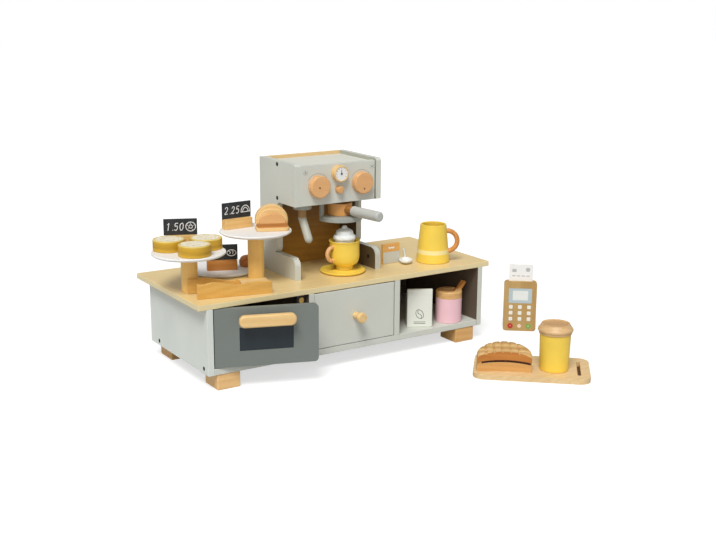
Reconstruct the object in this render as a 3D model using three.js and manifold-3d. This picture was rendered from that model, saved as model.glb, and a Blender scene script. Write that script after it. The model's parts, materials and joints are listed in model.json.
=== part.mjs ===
// Wooden toy coffee shop: a counter with a grill, a drawer and a shelf, an espresso machine on
// top, and its loose play pieces. Millimetres, +Z up, the floor at the lowest face. The model is
// drawn with x = 0 at the middle of the worktop, y = 0 at its front edge and z = 0 on the floor.

import * as THREE from "three";
import { mergeVertices } from "three/addons/utils/BufferGeometryUtils.js";
import Module from "manifold-3d";

// Clearances and drawing steps
const runningGap = 0.3;
const restGap = 0.3;
const overrun = 2;
const arcSteps = 5;
const turnSteps = 32;
const smallTurnSteps = 20;

// Counter carcass
const worktopLength = 600;
const worktopDepth = 258;
const worktopThickness = 9.5;
const sideOverhang = 15;
const backOverhang = 21;
const panelThickness = 11;
const backPanelThickness = 6;
const bayHeight = 102;
const grillBayShare = 0.3285;
const drawerBayShare = 0.3066;

// Feet
const footHeight = 27.5;
const footLength = 42;
const footDepth = 48;
const footInset = 16.7;
const footSetback = 1.2;

// Grill door
const doorThickness = 9;
const doorSideGap = 3;
const doorEndGap = 1;
const doorCornerRadius = 7;
const doorPinInset = 3.5;
const doorPinRadius = 2.5;
const doorPinReach = 4.2;
const doorPinEndGap = 0.7;
const doorOpenAngle = 19;
const windowWidth = 90;
const windowHeight = 40;
const windowThickness = 3;
const windowRecess = 1.5;
const windowSill = 26.5;
const windowFreeEdge = 42.5;
const grillBarLength = 95;
const grillBarHeight = 21;
const grillBarThickness = 11;
const grillBarStandoff = 9;
const grillBarDrop = 8.5;
const grillPostRadius = 5;
const grillPostSpread = 32;

// Door catch
const catchWidth = 18;
const catchDepth = 15.4;
const catchHeight = 20.5;
const catchStop = 0.6;

// Drawer
const drawerLeftGap = 0.5;
const drawerRightGap = 2.2;
const drawerTopGap = 1.5;
const drawerFrontThickness = 9;
const drawerBackGap = 26;
const drawerBoxHeight = 70;
const drawerWall = 5;
const drawerFloor = 4;
const drawerSideRelief = 0.9;
const knobLength = 24;
const knobFaceRadius = 9.3;
const knobNeckRadius = 6.2;
const knobHeightShare = 0.5;

// Espresso machine case
const machineCentre = 2;
const machineWidth = 178;
const machineFront = 58;
const machineDepth = 127;
const machineHeight = 204;
const headHeight = 73.5;
const columnDepth = 63;
const toeHeight = 39;
const noseRadius = 5;
const neckRadius = 8;
const toeFilletRadius = 10;
const toeRadius = 14;
const machineFrontThickness = 9;
const machineFrontDrop = 3;
const machineFrontGap = 2.5;
const machineBackThickness = 6;
const shelfThickness = 6;
const shelfDrop = 6;
const headFloorThickness = 6;

// Dials, gauge and knob on the machine front
const dialShift = 1.5;
const dialSpread = 44.6;
const dialHeight = 33;
const dialRadius = 19.5;
const dialThickness = 12;
const dialEdge = 2.5;
const dialDimpleRadius = 1.7;
const dialDimpleDepth = 2;
const leftDimpleOffset = 3.2;
const leftDialTurn = 198;
const rightDimpleOffset = 10;
const rightDialTurn = 268;
const gaugeSide = -1.4;
const gaugeHeight = 53;
const gaugeRadius = 14.5;
const gaugeThickness = 12;
const gaugeFaceRadius = 12;
const gaugeRecess = 0.8;
const smallKnobHeight = 24.3;
const smallKnobRadius = 6.6;
const smallKnobLength = 10;

// Steam wand
const wandSideGap = 2.5;
const wandSetback = 27;
const wandDiscRadius = 16.5;
const wandDiscThickness = 9;
const wandStemRadius = 7;
const wandStemLength = 17;
const wandRadius = 7.2;
const wandLength = 47;
const wandLean = 33;

// Filter holder and portafilter
const holderSide = 19;
const holderSetback = 27;
const holderWidth = 80;
const holderArmWidth = 7;
const holderArmDepth = 6;
const holderPlateThickness = 9;
const holderDrop = 35.5;
const filterCupRadius = 22;
const filterCupWall = 5.5;
const filterNeckRadius = 7.5;
const filterNeckReach = 37;
const filterHandleRadius = 9;
const filterHandleLength = 72;
const filterHandleEdge = 2.7;
const filterHandleAngle = 7.5;
const filterTopGap = 4.5;

// Saucer, cup and cream
const saucerSide = 18.2;
const saucerSetback = 15.7;
const saucerRadius = 41;
const saucerThickness = 6;
const saucerEdge = 1.5;
const cupShiftX = 2.6;
const cupShiftY = -1.7;
const cupHeight = 53;
const cupRimRadius = 28;
const cupBellyRadius = 27.3;
const cupWaistRadius = 26.6;
const cupNeckRadius = 14.8;
const cupFootRadius = 15.8;
const cupWall = 3.5;
const cupLedge = 3;
const cupLedgeDepth = 12;
const cupHandleRing = 12.3;
const cupHandleBar = 3.6;
const cupHandleAngle = 187;
const creamRadius = 20.4;
const creamHeight = 27;
const creamBase = 3;

// Milk jug
const jugX = 210;
const jugY = 57;
const jugHeight = 71.5;
const jugBottomRadius = 31.4;
const jugTopRadius = 24.3;
const jugWall = 3.5;
const jugHandleRing = 19.3;
const jugHandleBar = 4.6;
const jugHandleReach = 26.1;
const jugHandleHeight = 39;
const jugHandleAngle = -33;

// Tea packet and teaspoon
const teaPacketX = 131.8;
const teaPacketY = 84;
const teaPacketWidth = 37.6;
const teaPacketDepth = 6;
const teaPacketHeight = 38;
const spoonX = 156;
const spoonY = 69;
const spoonBowlLength = 38;
const spoonBowlWidth = 24;
const spoonBowlHeight = 8;
const spoonFlatDepth = 0.5;
const spoonHandleLength = 76;
const spoonHandleWidth = 3.6;
const spoonHandleHeight = 3;
const spoonAngle = 57;

// Stands and plate
const plateRadius = 62.5;
const plateThickness = 6;
const plateEdge = 2;
const standColumnRadius = 14;
const lowStandHeight = 68.5;
const tallStandHeight = 92;
const plateUnderHead = 4.4;
const plateGap = 0.7;
const lowStandY = 95;
const tallStandY = 94;
const servingPlateX = -160;
const servingPlateY = 195;

// Food on the stands
const cakeRadius = 27.2;
const cakeHeight = 19.5;
const cakeEdge = 2;
const rollWidth = 57.5;
const rollDepth = 35;
const rollBaseHeight = 6;
const rollBaseCorner = 9;
const rollSlit = 3.8;
const rollHeight = 43;
const rollCoreInset = 3;
const rollCoreFront = 10;
const rollAngle = -21;
const pastryRadius = 15;
const pastryHeight = 20;

// Price signs
const signWidth = 54;
const signDepth = 14;
const signHeight = 17.5;
const cardWidth = 57;
const cardRise = 28;
const cardThickness = 2;
const cardSetback = 2.5;
const lowSignAngle = -23;
const tallSignAngle = 4;
const servingSignAngle = -21;

// Tongs
const tongsX = -159;
const tongsY = 25.7;
const tongsLength = 128;
const tongsThickness = 6;
const tongsHeight = 20.5;
const tongsBlockLength = 48;
const tongsBlockDepth = 32;
const tongsFrontAngle = 11.3;
const tongsRearAngle = 18.3;

// Coffee bag
const bagShare = 0.36;
const bagY = 30;
const bagWidth = 47;
const bagDepth = 28;
const bagHeight = 72.5;
const bagFoldDepth = 6;
const bagShoulder = 52;
const bagAngle = -28.7;

// Sugar jar
const jarShare = 0.733;
const jarY = 26;
const jarRadius = 24.7;
const jarHeight = 46.7;
const jarWall = 3;
const jarFloor = 5;
const jarLidHeight = 13.3;
const jarLidPlug = 5;
const jarLidEdge = 1.7;
const jarLidHoleRadius = 13;
const jarSpoonWidth = 10;
const jarSpoonThickness = 6.5;
const jarScoopHalfWidth = 8;
const jarSpoonFoot = 6.8;
const jarSpoonFootHeight = 23.8;
const jarSpoonLean = 45;
const jarSpoonTurn = 8;
const jarSpoonEndGap = 7.6;

// Card terminal
const terminalX = 379.5;
const terminalY = -2.8;
const terminalWidth = 63;
const terminalHeight = 99.5;
const terminalDepth = 14;
const terminalCorner = 6;
const terminalAngle = -38.8;
const screenWidth = 45;
const screenHeight = 30;
const screenTopMargin = 13.5;
const screenRecess = 0.8;
const bankCardWidth = 45;
const bankCardThickness = 2;
const bankCardRise = 33;
const bankCardDepth = 24;

// Serving tray with croissant and to-go cup
const trayX = 239.3;
const trayY = -197.3;
const trayLength = 200;
const trayWidth = 118;
const trayThickness = 9;
const trayCorner = 20;
const trayAngle = -41.4;
const traySlotLength = 75;
const traySlotWidth = 6;
const traySlotInset = 16;
const croissantLength = 94;
const croissantWidth = 42;
const croissantTipWidth = 16;
const croissantBow = 8;
const croissantLobe = 2.2;
const croissantHeight = 47;
const croissantEndHeight = 29;
const croissantSlit = 3.4;
const croissantSlitHeight = 14;
const croissantSpine = 13;
const croissantSlitEnd = 8;
const croissantSlitRise = 8;
const croissantAngle = 5;
const togoCupHeight = 65.5;
const togoCupBottomRadius = 25;
const togoCupTopRadius = 26.8;
const togoCupWall = 2.5;
const togoLidHeight = 17.5;
const togoLidRimRadius = 30.2;
const togoLidTopRadius = 23.4;
const togoLidPlug = 6;
const togoLidRimHeight = 5;

// Finishes
const greyPaint = { color: 0xc3c7bd, roughness: 0.55, metalness: 0 };
const doorPaint = { color: 0x7d827a, roughness: 0.5, metalness: 0 };
const glazing = { color: 0x2d343e, roughness: 0.25, metalness: 0 };
const darkBlock = { color: 0x3c3a36, roughness: 0.6, metalness: 0 };
const birch = { color: 0xe1cda0, roughness: 0.5, metalness: 0 };
const beech = { color: 0xcd9655, roughness: 0.5, metalness: 0 };
const paleBeech = { color: 0xeebe78, roughness: 0.5, metalness: 0 };
const whitePaint = { color: 0xf2f1ee, roughness: 0.4, metalness: 0 };
const palePaint = { color: 0xd2d4cf, roughness: 0.45, metalness: 0 };
const yellowPaint = { color: 0xf5cd46, roughness: 0.4, metalness: 0 };
const cakePaint = { color: 0xc6961e, roughness: 0.5, metalness: 0 };
const pinkPaint = { color: 0xebc3c8, roughness: 0.4, metalness: 0 };
const blackBoard = { color: 0x37393c, roughness: 0.7, metalness: 0 };
const bagPaint = { color: 0xe3e4da, roughness: 0.6, metalness: 0 };

// Solid helpers

const wasm = await Module();
wasm.setup();

const radians = THREE.MathUtils.degToRad;
const quarterTurn = Math.PI / 2;

function solidOf(geometry) {
  const bare = geometry.clone();
  bare.deleteAttribute("normal");
  bare.deleteAttribute("uv");
  const merged = mergeVertices(bare);
  const corners = merged.index.array;
  const kept = [];
  for (let i = 0; i < corners.length; i += 3) {
    const [a, b, c] = corners.slice(i, i + 3);
    if (a !== b && b !== c && c !== a) kept.push(a, b, c);
  }
  return new wasm.Manifold(new wasm.Mesh({
    numProp: 3,
    vertProperties: new Float32Array(merged.attributes.position.array),
    triVerts: new Uint32Array(kept),
  }));
}

function geometryOf(solid) {
  const mesh = solid.getMesh();
  const geometry = new THREE.BufferGeometry();
  geometry.setAttribute("position", new THREE.BufferAttribute(mesh.vertProperties, 3));
  geometry.setIndex(new THREE.BufferAttribute(mesh.triVerts, 1));
  geometry.computeVertexNormals();
  return geometry;
}

function join(...geometries) {
  return geometryOf(geometries.map(solidOf).reduce((whole, next) => whole.add(next)));
}

function cut(geometry, ...tools) {
  return geometryOf(tools.map(solidOf).reduce((rest, tool) => rest.subtract(tool), solidOf(geometry)));
}

function common(geometry, other) {
  return geometryOf(solidOf(geometry).intersect(solidOf(other)));
}

// A block between two corners
function block(left, right, front, back, bottom, top) {
  const geometry = new THREE.BoxGeometry(right - left, back - front, top - bottom);
  return geometry.translate((left + right) / 2, (front + back) / 2, (bottom + top) / 2);
}

function extruded(outline, depth) {
  return new THREE.ExtrudeGeometry(outline, { depth, bevelEnabled: false, curveSegments: arcSteps });
}

// An outline in x and y, raised from bottom to top
function floorPlate(outline, bottom, top) {
  return extruded(outline, top - bottom).translate(0, 0, bottom);
}

// An outline in x and z, running back from front to back
function frontPlate(outline, front, back) {
  return extruded(outline, back - front).rotateX(quarterTurn).translate(0, back, 0);
}

// An outline in y and z, running from left to right
function sidePlate(outline, left, right) {
  return extruded(outline, right - left).rotateX(quarterTurn).rotateZ(quarterTurn).translate(left, 0, 0);
}

// A profile of [radius, height] pairs turned about the z axis
function turned(profile, steps = turnSteps) {
  const points = profile.map(([radius, height]) => new THREE.Vector2(radius, height));
  return new THREE.LatheGeometry(points, steps).rotateX(quarterTurn);
}

// The same, with the axis pointing to the front
function turnedForward(profile, steps = turnSteps) {
  return turned(profile, steps).rotateX(quarterTurn);
}

function disc(radius, bottom, top, steps = turnSteps) {
  return turned([[0, bottom], [radius, bottom], [radius, top], [0, top]], steps);
}

function ring(ringRadius, barRadius) {
  return new THREE.TorusGeometry(ringRadius, barRadius, 2 * arcSteps, smallTurnSteps);
}

function roundedRectangle(left, right, bottom, top, radius) {
  const shape = new THREE.Shape();
  shape.absarc(right - radius, bottom + radius, radius, -quarterTurn, 0);
  shape.absarc(right - radius, top - radius, radius, 0, quarterTurn);
  shape.absarc(left + radius, top - radius, radius, quarterTurn, 2 * quarterTurn);
  shape.absarc(left + radius, bottom + radius, radius, 2 * quarterTurn, 3 * quarterTurn);
  shape.closePath();
  return shape;
}

function outlineOf(points) {
  return new THREE.Shape(points.map(([x, y]) => new THREE.Vector2(x, y)));
}

const shop = new THREE.Group();
const assembly = new THREE.Group();
shop.add(assembly);

function piece(name, geometry, finish, place = assembly) {
  const mesh = new THREE.Mesh(join(geometry), new THREE.MeshStandardMaterial(finish));
  mesh.name = name;
  place.add(mesh);
}

function placeAt(x, y, z, angle = 0, parent = assembly) {
  const place = new THREE.Group();
  place.position.set(x, y, z);
  place.rotation.z = radians(angle);
  parent.add(place);
  return place;
}

// Counter

const caseHalf = worktopLength / 2 - sideOverhang;
const caseDepth = worktopDepth - backOverhang;
const caseBottom = footHeight;
const bayFloor = caseBottom + panelThickness;
const caseTop = bayFloor + bayHeight;
const worktopTop = caseTop + worktopThickness;
const caseInner = caseHalf - panelThickness;
const bayBack = caseDepth - backPanelThickness;
const grillBayWidth = 2 * caseInner * grillBayShare;
const drawerBayWidth = 2 * caseInner * drawerBayShare;
const grillBayRight = -caseInner + grillBayWidth;
const drawerBayLeft = grillBayRight + panelThickness;
const drawerBayRight = drawerBayLeft + drawerBayWidth;
const shelfBayLeft = drawerBayRight + panelThickness;
const shelfBayWidth = caseInner - shelfBayLeft;
const doorPinX = -caseInner + doorSideGap + doorPinInset;
const doorPinY = doorThickness / 2;

function makeCounter() {
  const hole = disc(doorPinRadius + runningGap, bayFloor - doorPinReach - doorPinEndGap,
    caseTop + doorPinReach + doorPinEndGap, smallTurnSteps).translate(doorPinX, doorPinY, 0);
  const worktop = block(-worktopLength / 2, worktopLength / 2, 0, worktopDepth, caseTop, worktopTop);
  piece("worktop", cut(worktop, hole), birch);
  piece("left_side_panel", block(-caseHalf, -caseInner, 0, caseDepth, caseBottom, caseTop), greyPaint);
  piece("right_side_panel", block(caseInner, caseHalf, 0, caseDepth, caseBottom, caseTop), greyPaint);
  const bottom = block(-caseInner, caseInner, 0, caseDepth, caseBottom, bayFloor);
  piece("bottom_panel", cut(bottom, hole), greyPaint);
  piece("back_panel", block(-caseInner, caseInner, bayBack, caseDepth, bayFloor, caseTop), greyPaint);
  const leftDivider = block(grillBayRight, drawerBayLeft, 0, bayBack, bayFloor, caseTop);
  piece("left_divider", leftDivider, greyPaint);
  const rightDivider = block(drawerBayRight, shelfBayLeft, 0, bayBack, bayFloor, caseTop);
  piece("right_divider", rightDivider, greyPaint);

  const footOuter = caseHalf - footInset;
  const footInner = footOuter - footLength;
  const rows = { front: footSetback, rear: caseDepth - footSetback - footDepth };
  for (const [row, front] of Object.entries(rows)) {
    const left = block(-footOuter, -footInner, front, front + footDepth, 0, footHeight);
    const right = block(footInner, footOuter, front, front + footDepth, 0, footHeight);
    piece(`${row}_left_foot`, left, paleBeech);
    piece(`${row}_right_foot`, right, paleBeech);
  }
}

// Grill door, drawn closed about its pin axis and then turned open

function makeGrillDoor() {
  const place = placeAt(doorPinX, doorPinY, 0, -doorOpenAngle);
  const hingeEdge = -doorPinInset;
  const freeEdge = hingeEdge + grillBayWidth - 2 * doorSideGap;
  const bottom = bayFloor + doorEndGap;
  const top = caseTop - doorEndGap;
  const front = -doorThickness / 2;
  const back = doorThickness / 2;
  const radius = doorCornerRadius;

  const outline = new THREE.Shape();
  outline.moveTo(hingeEdge, bottom);
  outline.absarc(freeEdge - radius, bottom + radius, radius, -quarterTurn, 0);
  outline.absarc(freeEdge - radius, top - radius, radius, 0, quarterTurn);
  outline.lineTo(hingeEdge, top);
  const windowRight = freeEdge - windowFreeEdge;
  const windowLeft = windowRight - windowWidth;
  const windowBottom = bottom + windowSill;
  const windowTop = windowBottom + windowHeight;
  const opening = block(windowLeft, windowRight, front - overrun, back + overrun, windowBottom, windowTop);
  const pins = disc(doorPinRadius, bayFloor - doorPinReach, caseTop + doorPinReach, smallTurnSteps);
  piece("grill_door", cut(join(frontPlate(outline, front, back), pins), opening), doorPaint, place);

  const paneFront = front + windowRecess;
  const pane = block(windowLeft + restGap, windowRight - restGap, paneFront, paneFront + windowThickness,
    windowBottom + restGap, windowTop - restGap);
  piece("grill_window", pane, glazing, place);

  const barCentre = (windowLeft + windowRight) / 2;
  const barTop = top - grillBarDrop;
  const barBack = front - grillBarStandoff;
  const barOutline = roundedRectangle(barCentre - grillBarLength / 2, barCentre + grillBarLength / 2,
    barTop - grillBarHeight, barTop, grillBarHeight / 2);
  const posts = [-grillPostSpread, grillPostSpread].map((offset) => turnedForward(
    [[0, 0], [grillPostRadius, 0], [grillPostRadius, grillBarStandoff + grillBarThickness / 2],
      [0, grillBarStandoff + grillBarThickness / 2]], smallTurnSteps)
    .translate(barCentre + offset, front, barTop - grillBarHeight / 2));
  const bar = frontPlate(barOutline, barBack - grillBarThickness, barBack);
  piece("grill_handle", join(bar, ...posts), paleBeech, place);
}

function makeDoorCatch() {
  const front = doorThickness + catchStop;
  piece("door_catch", block(grillBayRight - catchWidth, grillBayRight, front, front + catchDepth,
    caseTop - catchHeight, caseTop), darkBlock);
}

// Drawer

function makeDrawer() {
  const left = drawerBayLeft + drawerLeftGap;
  const right = drawerBayRight - drawerRightGap;
  const bottom = bayFloor + doorEndGap;
  const top = caseTop - drawerTopGap;
  piece("drawer_front", block(left, right, 0, drawerFrontThickness, bottom, top), greyPaint);

  const boxLeft = left + drawerSideRelief;
  const boxRight = right - drawerSideRelief;
  const boxBottom = bayFloor + runningGap;
  const boxTop = boxBottom + drawerBoxHeight;
  const boxBack = bayBack - drawerBackGap;
  const outer = block(boxLeft, boxRight, drawerFrontThickness, boxBack, boxBottom, boxTop);
  const inner = block(boxLeft + drawerWall, boxRight - drawerWall, drawerFrontThickness + drawerWall,
    boxBack - drawerWall, boxBottom + drawerFloor, boxTop + overrun);
  piece("drawer_box", cut(outer, inner), birch);

  const neckEndShare = 0.45;
  const faceStartShare = 0.72;
  const faceEdgeShare = 0.92;
  const profile = [
    [0, 0],
    [knobNeckRadius / faceEdgeShare, 0],
    [knobNeckRadius, knobLength * neckEndShare],
    [knobFaceRadius, knobLength * faceStartShare],
    [knobFaceRadius, knobLength * faceEdgeShare],
    [knobFaceRadius * faceEdgeShare, knobLength],
    [0, knobLength],
  ];
  const height = bottom + (top - bottom) * knobHeightShare;
  const knob = turnedForward(profile, smallTurnSteps);
  piece("drawer_knob", knob.translate((drawerBayLeft + drawerBayRight) / 2, 0, height), paleBeech);
}

// Espresso machine

const machineLeft = machineCentre - machineWidth / 2;
const machineRight = machineCentre + machineWidth / 2;
const machineInnerLeft = machineLeft + panelThickness;
const machineInnerRight = machineRight - panelThickness;
const machineBack = machineFront + machineDepth;
const machineTop = worktopTop + machineHeight;
const headBottom = machineTop - headHeight;
const machineFaceTop = machineTop - machineFrontDrop;
const machineInnerFront = machineFront + machineFrontThickness;
const machineInnerBack = machineBack - machineBackThickness;

function makeMachineCase() {
  const columnFront = machineBack - columnDepth;
  const toeTop = worktopTop + toeHeight;
  const side = new THREE.Shape();
  side.moveTo(machineBack, worktopTop);
  side.lineTo(machineBack, machineTop);
  side.absarc(machineFront + noseRadius, machineTop - noseRadius, noseRadius, quarterTurn, 2 * quarterTurn);
  side.lineTo(machineFront, headBottom);
  side.absarc(columnFront - neckRadius, headBottom - neckRadius, neckRadius, quarterTurn, 0, true);
  side.absarc(columnFront - toeFilletRadius, toeTop + toeFilletRadius, toeFilletRadius,
    0, -quarterTurn, true);
  side.absarc(machineFront + toeRadius, toeTop - toeRadius, toeRadius, quarterTurn, 2 * quarterTurn);
  side.lineTo(machineFront, worktopTop);
  piece("machine_left_side", sidePlate(side, machineLeft, machineInnerLeft), greyPaint);
  piece("machine_right_side", sidePlate(side, machineInnerRight, machineRight), greyPaint);

  piece("machine_back", block(machineInnerLeft, machineInnerRight, machineInnerBack, machineBack,
    worktopTop, machineTop), birch);
  piece("machine_front", block(machineInnerLeft, machineInnerRight - machineFrontGap, machineFront,
    machineInnerFront, headBottom, machineFaceTop), greyPaint);
  const shelfTop = machineTop - shelfDrop;
  piece("machine_top_shelf", block(machineInnerLeft, machineInnerRight, machineInnerFront, machineInnerBack,
    shelfTop - shelfThickness, shelfTop), greyPaint);
  piece("machine_head_floor", block(machineInnerLeft, machineInnerRight, machineInnerFront, machineInnerBack,
    headBottom, headBottom + headFloorThickness), greyPaint);
}

function makeDials() {
  const profile = [
    [0, 0],
    [dialRadius, 0],
    [dialRadius, dialThickness - dialEdge],
    [dialRadius - dialEdge, dialThickness],
    [0, dialThickness],
  ];
  const dialZ = headBottom + dialHeight;
  const dials = {
    left_dial: [-dialSpread, leftDimpleOffset, leftDialTurn],
    right_dial: [dialSpread, rightDimpleOffset, rightDialTurn],
  };
  for (const [name, [side, dimpleOffset, dimpleTurn]] of Object.entries(dials)) {
    const turn = radians(dimpleTurn);
    const reach = dialDimpleDepth + overrun;
    const dimple = turnedForward([[0, 0], [dialDimpleRadius, 0], [dialDimpleRadius, reach], [0, reach]],
      2 * arcSteps).translate(dimpleOffset * Math.cos(turn), dialDimpleDepth - dialThickness,
      dimpleOffset * Math.sin(turn));
    const dial = cut(turnedForward(profile), dimple);
    const dialX = machineCentre + dialShift + side;
    piece(name, dial.translate(dialX, machineFront - runningGap, dialZ), beech);
  }

  const gauge = turnedForward([
    [0, 0],
    [gaugeRadius, 0],
    [gaugeRadius, gaugeThickness - dialEdge / 2],
    [gaugeRadius - dialEdge / 2, gaugeThickness],
    [gaugeFaceRadius, gaugeThickness],
    [gaugeFaceRadius, gaugeThickness - gaugeRecess],
    [0, gaugeThickness - gaugeRecess],
  ]);
  const gaugeX = machineCentre + gaugeSide;
  piece("pressure_gauge", gauge.translate(gaugeX, machineFront, headBottom + gaugeHeight), paleBeech);

  const knob = turnedForward([
    [0, 0],
    [smallKnobRadius, 0],
    [smallKnobRadius, smallKnobLength - dialEdge],
    [smallKnobRadius - dialEdge, smallKnobLength],
    [0, smallKnobLength],
  ], smallTurnSteps);
  const knobZ = headBottom + smallKnobHeight;
  piece("small_knob", knob.translate(gaugeX, machineFront - runningGap, knobZ), beech);
}

function makeSteamWand() {
  const wandX = machineInnerLeft + wandSideGap + wandDiscRadius;
  const place = placeAt(wandX, machineFront + wandSetback, headBottom - runningGap);
  const mount = turned([
    [0, -wandDiscThickness - wandStemLength],
    [wandStemRadius, -wandDiscThickness - wandStemLength],
    [wandStemRadius, -wandDiscThickness],
    [wandDiscRadius, -wandDiscThickness],
    [wandDiscRadius, 0],
    [0, 0],
  ]);
  const wand = new THREE.CapsuleGeometry(wandRadius, wandLength - wandRadius, arcSteps, smallTurnSteps)
    .rotateX(quarterTurn)
    .translate(0, 0, -(wandLength - wandRadius) / 2)
    .rotateX(-radians(wandLean))
    .translate(0, 0, -wandDiscThickness - wandStemLength);
  piece("steam_wand", join(mount, wand), palePaint, place);
}

function makeFilterHolder() {
  const place = placeAt(machineCentre + holderSide, machineFront + holderSetback, headBottom);
  const half = holderWidth / 2;
  const plateTop = holderPlateThickness - holderDrop;
  const outline = new THREE.Shape();
  outline.absarc(0, 0, half, 2 * quarterTurn, 4 * quarterTurn);
  outline.lineTo(half, holderArmDepth);
  outline.lineTo(-half, holderArmDepth);
  const plate = floorPlate(outline, -holderDrop, plateTop);
  const left = block(-half, holderArmWidth - half, 0, holderArmDepth, -holderDrop, 0);
  const right = block(half - holderArmWidth, half, 0, holderArmDepth, -holderDrop, 0);
  piece("filter_holder", join(plate, left, right), greyPaint, place);

  const cupBottom = plateTop + runningGap;
  const cupTop = -filterTopGap;
  const neckHeight = (cupBottom + cupTop) / 2;
  const turning = placeAt(0, 0, 0, filterHandleAngle, place);
  const cup = turned([
    [0, cupBottom],
    [filterCupRadius, cupBottom],
    [filterCupRadius, cupTop],
    [filterCupRadius - filterCupWall, cupTop],
    [filterCupRadius - filterCupWall, neckHeight],
    [0, neckHeight],
  ]);
  const neck = turnedForward([[0, filterCupRadius - overrun], [filterNeckRadius, filterCupRadius - overrun],
    [filterNeckRadius, filterNeckReach], [0, filterNeckReach]], smallTurnSteps);
  piece("portafilter", join(cup, neck.translate(0, 0, neckHeight)), beech, turning);

  const handleTip = filterNeckReach + filterHandleLength;
  const edge = filterHandleEdge;
  const handle = turnedForward([
    [0, filterNeckReach],
    [filterHandleRadius - edge, filterNeckReach],
    [filterHandleRadius, filterNeckReach + edge],
    [filterHandleRadius, handleTip - edge],
    [filterHandleRadius - edge, handleTip],
    [0, handleTip],
  ], smallTurnSteps);
  piece("portafilter_handle", handle.translate(0, 0, neckHeight), palePaint, turning);
}

// Cup, saucer, cream and jug

function makeCoffeeCup() {
  const place = placeAt(machineCentre + saucerSide, machineFront + saucerSetback, worktopTop);
  piece("saucer", turned([
    [0, 0],
    [saucerRadius - saucerEdge, 0],
    [saucerRadius, saucerEdge],
    [saucerRadius, saucerThickness - saucerEdge / 2],
    [saucerRadius - saucerEdge / 2, saucerThickness],
    [0, saucerThickness],
  ]), yellowPaint, place);

  const cupPlace = placeAt(cupShiftX, cupShiftY, saucerThickness, 0, place);
  const footShare = 0.05;
  const neckShare = 0.12;
  const bowlShare = 0.2;
  const bellyLowShare = 0.3;
  const bellyShare = 0.46;
  const handleShare = 0.58;
  const waistShare = 0.86;
  const lipShare = 0.96;
  const bore = cupRimRadius - cupWall;
  const lowBore = bore - cupLedge;
  const ledge = cupHeight - cupLedgeDepth;
  const body = turned([
    [0, 0],
    [cupFootRadius, 0],
    [cupFootRadius, cupHeight * footShare],
    [cupNeckRadius, cupHeight * neckShare],
    [(cupNeckRadius + 2 * cupBellyRadius) / 3, cupHeight * bowlShare],
    [cupBellyRadius - cupLedge / 3, cupHeight * bellyLowShare],
    [cupBellyRadius, cupHeight * bellyShare],
    [cupWaistRadius, cupHeight * waistShare],
    [cupRimRadius, cupHeight * lipShare],
    [cupRimRadius, cupHeight],
    [0, cupHeight],
  ]);
  const cavityFloor = cupHeight * neckShare + cupWall;
  const cavity = turned([
    [0, cavityFloor],
    [cupNeckRadius - cupWall, cavityFloor],
    [lowBore, cupHeight * bellyShare],
    [lowBore, ledge],
    [bore, ledge],
    [bore, cupHeight + overrun],
    [0, cupHeight + overrun],
  ]);
  const handle = ring(cupHandleRing, cupHandleBar).rotateX(quarterTurn)
    .translate(cupBellyRadius, 0, cupHeight * handleShare).rotateZ(radians(cupHandleAngle));
  piece("coffee_cup", cut(join(body, handle), cavity), yellowPaint, cupPlace);

  // The cream's tiers above the rim, as shares of its radius and height
  const tiers = [[0.86, 0], [1, 0.18], [0.94, 0.32], [0.66, 0.42], [0.74, 0.56], [0.66, 0.7],
    [0.3, 0.78], [0.24, 0.9], [0.14, 0.98], [0, 1]];
  const neck = creamRadius * tiers[0][0];
  piece("whipped_cream", turned([
    [0, ledge],
    [bore - cupLedge / 2, ledge],
    [bore - cupLedge / 2, ledge + creamBase],
    [neck, ledge + creamBase],
    ...tiers.map(([wide, high]) => [creamRadius * wide, cupHeight + creamHeight * high]),
  ], smallTurnSteps), whitePaint, cupPlace);
}

function makeMilkJug() {
  const place = placeAt(jugX, jugY, worktopTop);
  const body = turned([[0, 0], [jugBottomRadius, 0], [jugTopRadius, jugHeight], [0, jugHeight]]);
  const cavity = turned([
    [0, jugWall],
    [jugBottomRadius - jugWall, jugWall],
    [jugTopRadius - jugWall, jugHeight],
    [jugTopRadius - jugWall, jugHeight + overrun],
    [0, jugHeight + overrun],
  ]);
  const handle = ring(jugHandleRing, jugHandleBar).rotateX(quarterTurn)
    .translate(jugHandleReach, 0, jugHandleHeight).rotateZ(radians(jugHandleAngle));
  piece("milk_jug", cut(join(body, handle), cavity), yellowPaint, place);
}

// Tea packet and teaspoon

function makeTeaThings() {
  const packet = placeAt(teaPacketX, teaPacketY, worktopTop);
  piece("tea_packet", block(-teaPacketWidth / 2, teaPacketWidth / 2, -teaPacketDepth / 2, teaPacketDepth / 2,
    0, teaPacketHeight), beech, packet);

  const place = placeAt(spoonX, spoonY, worktopTop, spoonAngle);
  const bowl = new THREE.SphereGeometry(1, smallTurnSteps, 2 * arcSteps);
  const outer = bowl.clone().scale(spoonBowlLength / 2, spoonBowlWidth / 2, spoonBowlHeight)
    .translate(0, 0, spoonBowlHeight);
  const halfOuter = common(outer, block(-spoonBowlLength, spoonBowlLength, -spoonBowlWidth, spoonBowlWidth,
    spoonFlatDepth, spoonBowlHeight)).translate(0, 0, -spoonFlatDepth);
  const hollow = bowl.clone().scale(spoonBowlLength / 2 - spoonHandleHeight,
    spoonBowlWidth / 2 - spoonHandleHeight, spoonBowlHeight - spoonHandleHeight)
    .translate(0, 0, spoonBowlHeight);
  const handleTop = spoonBowlHeight - spoonFlatDepth;
  const handle = block(spoonBowlLength / 2 - spoonHandleHeight, spoonBowlLength / 2 + spoonHandleLength,
    -spoonHandleWidth / 2, spoonHandleWidth / 2, handleTop - spoonHandleHeight, handleTop);
  piece("teaspoon", join(cut(halfOuter, hollow), handle), whitePaint, place);
}

// Stands, plate and what is on them

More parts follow.
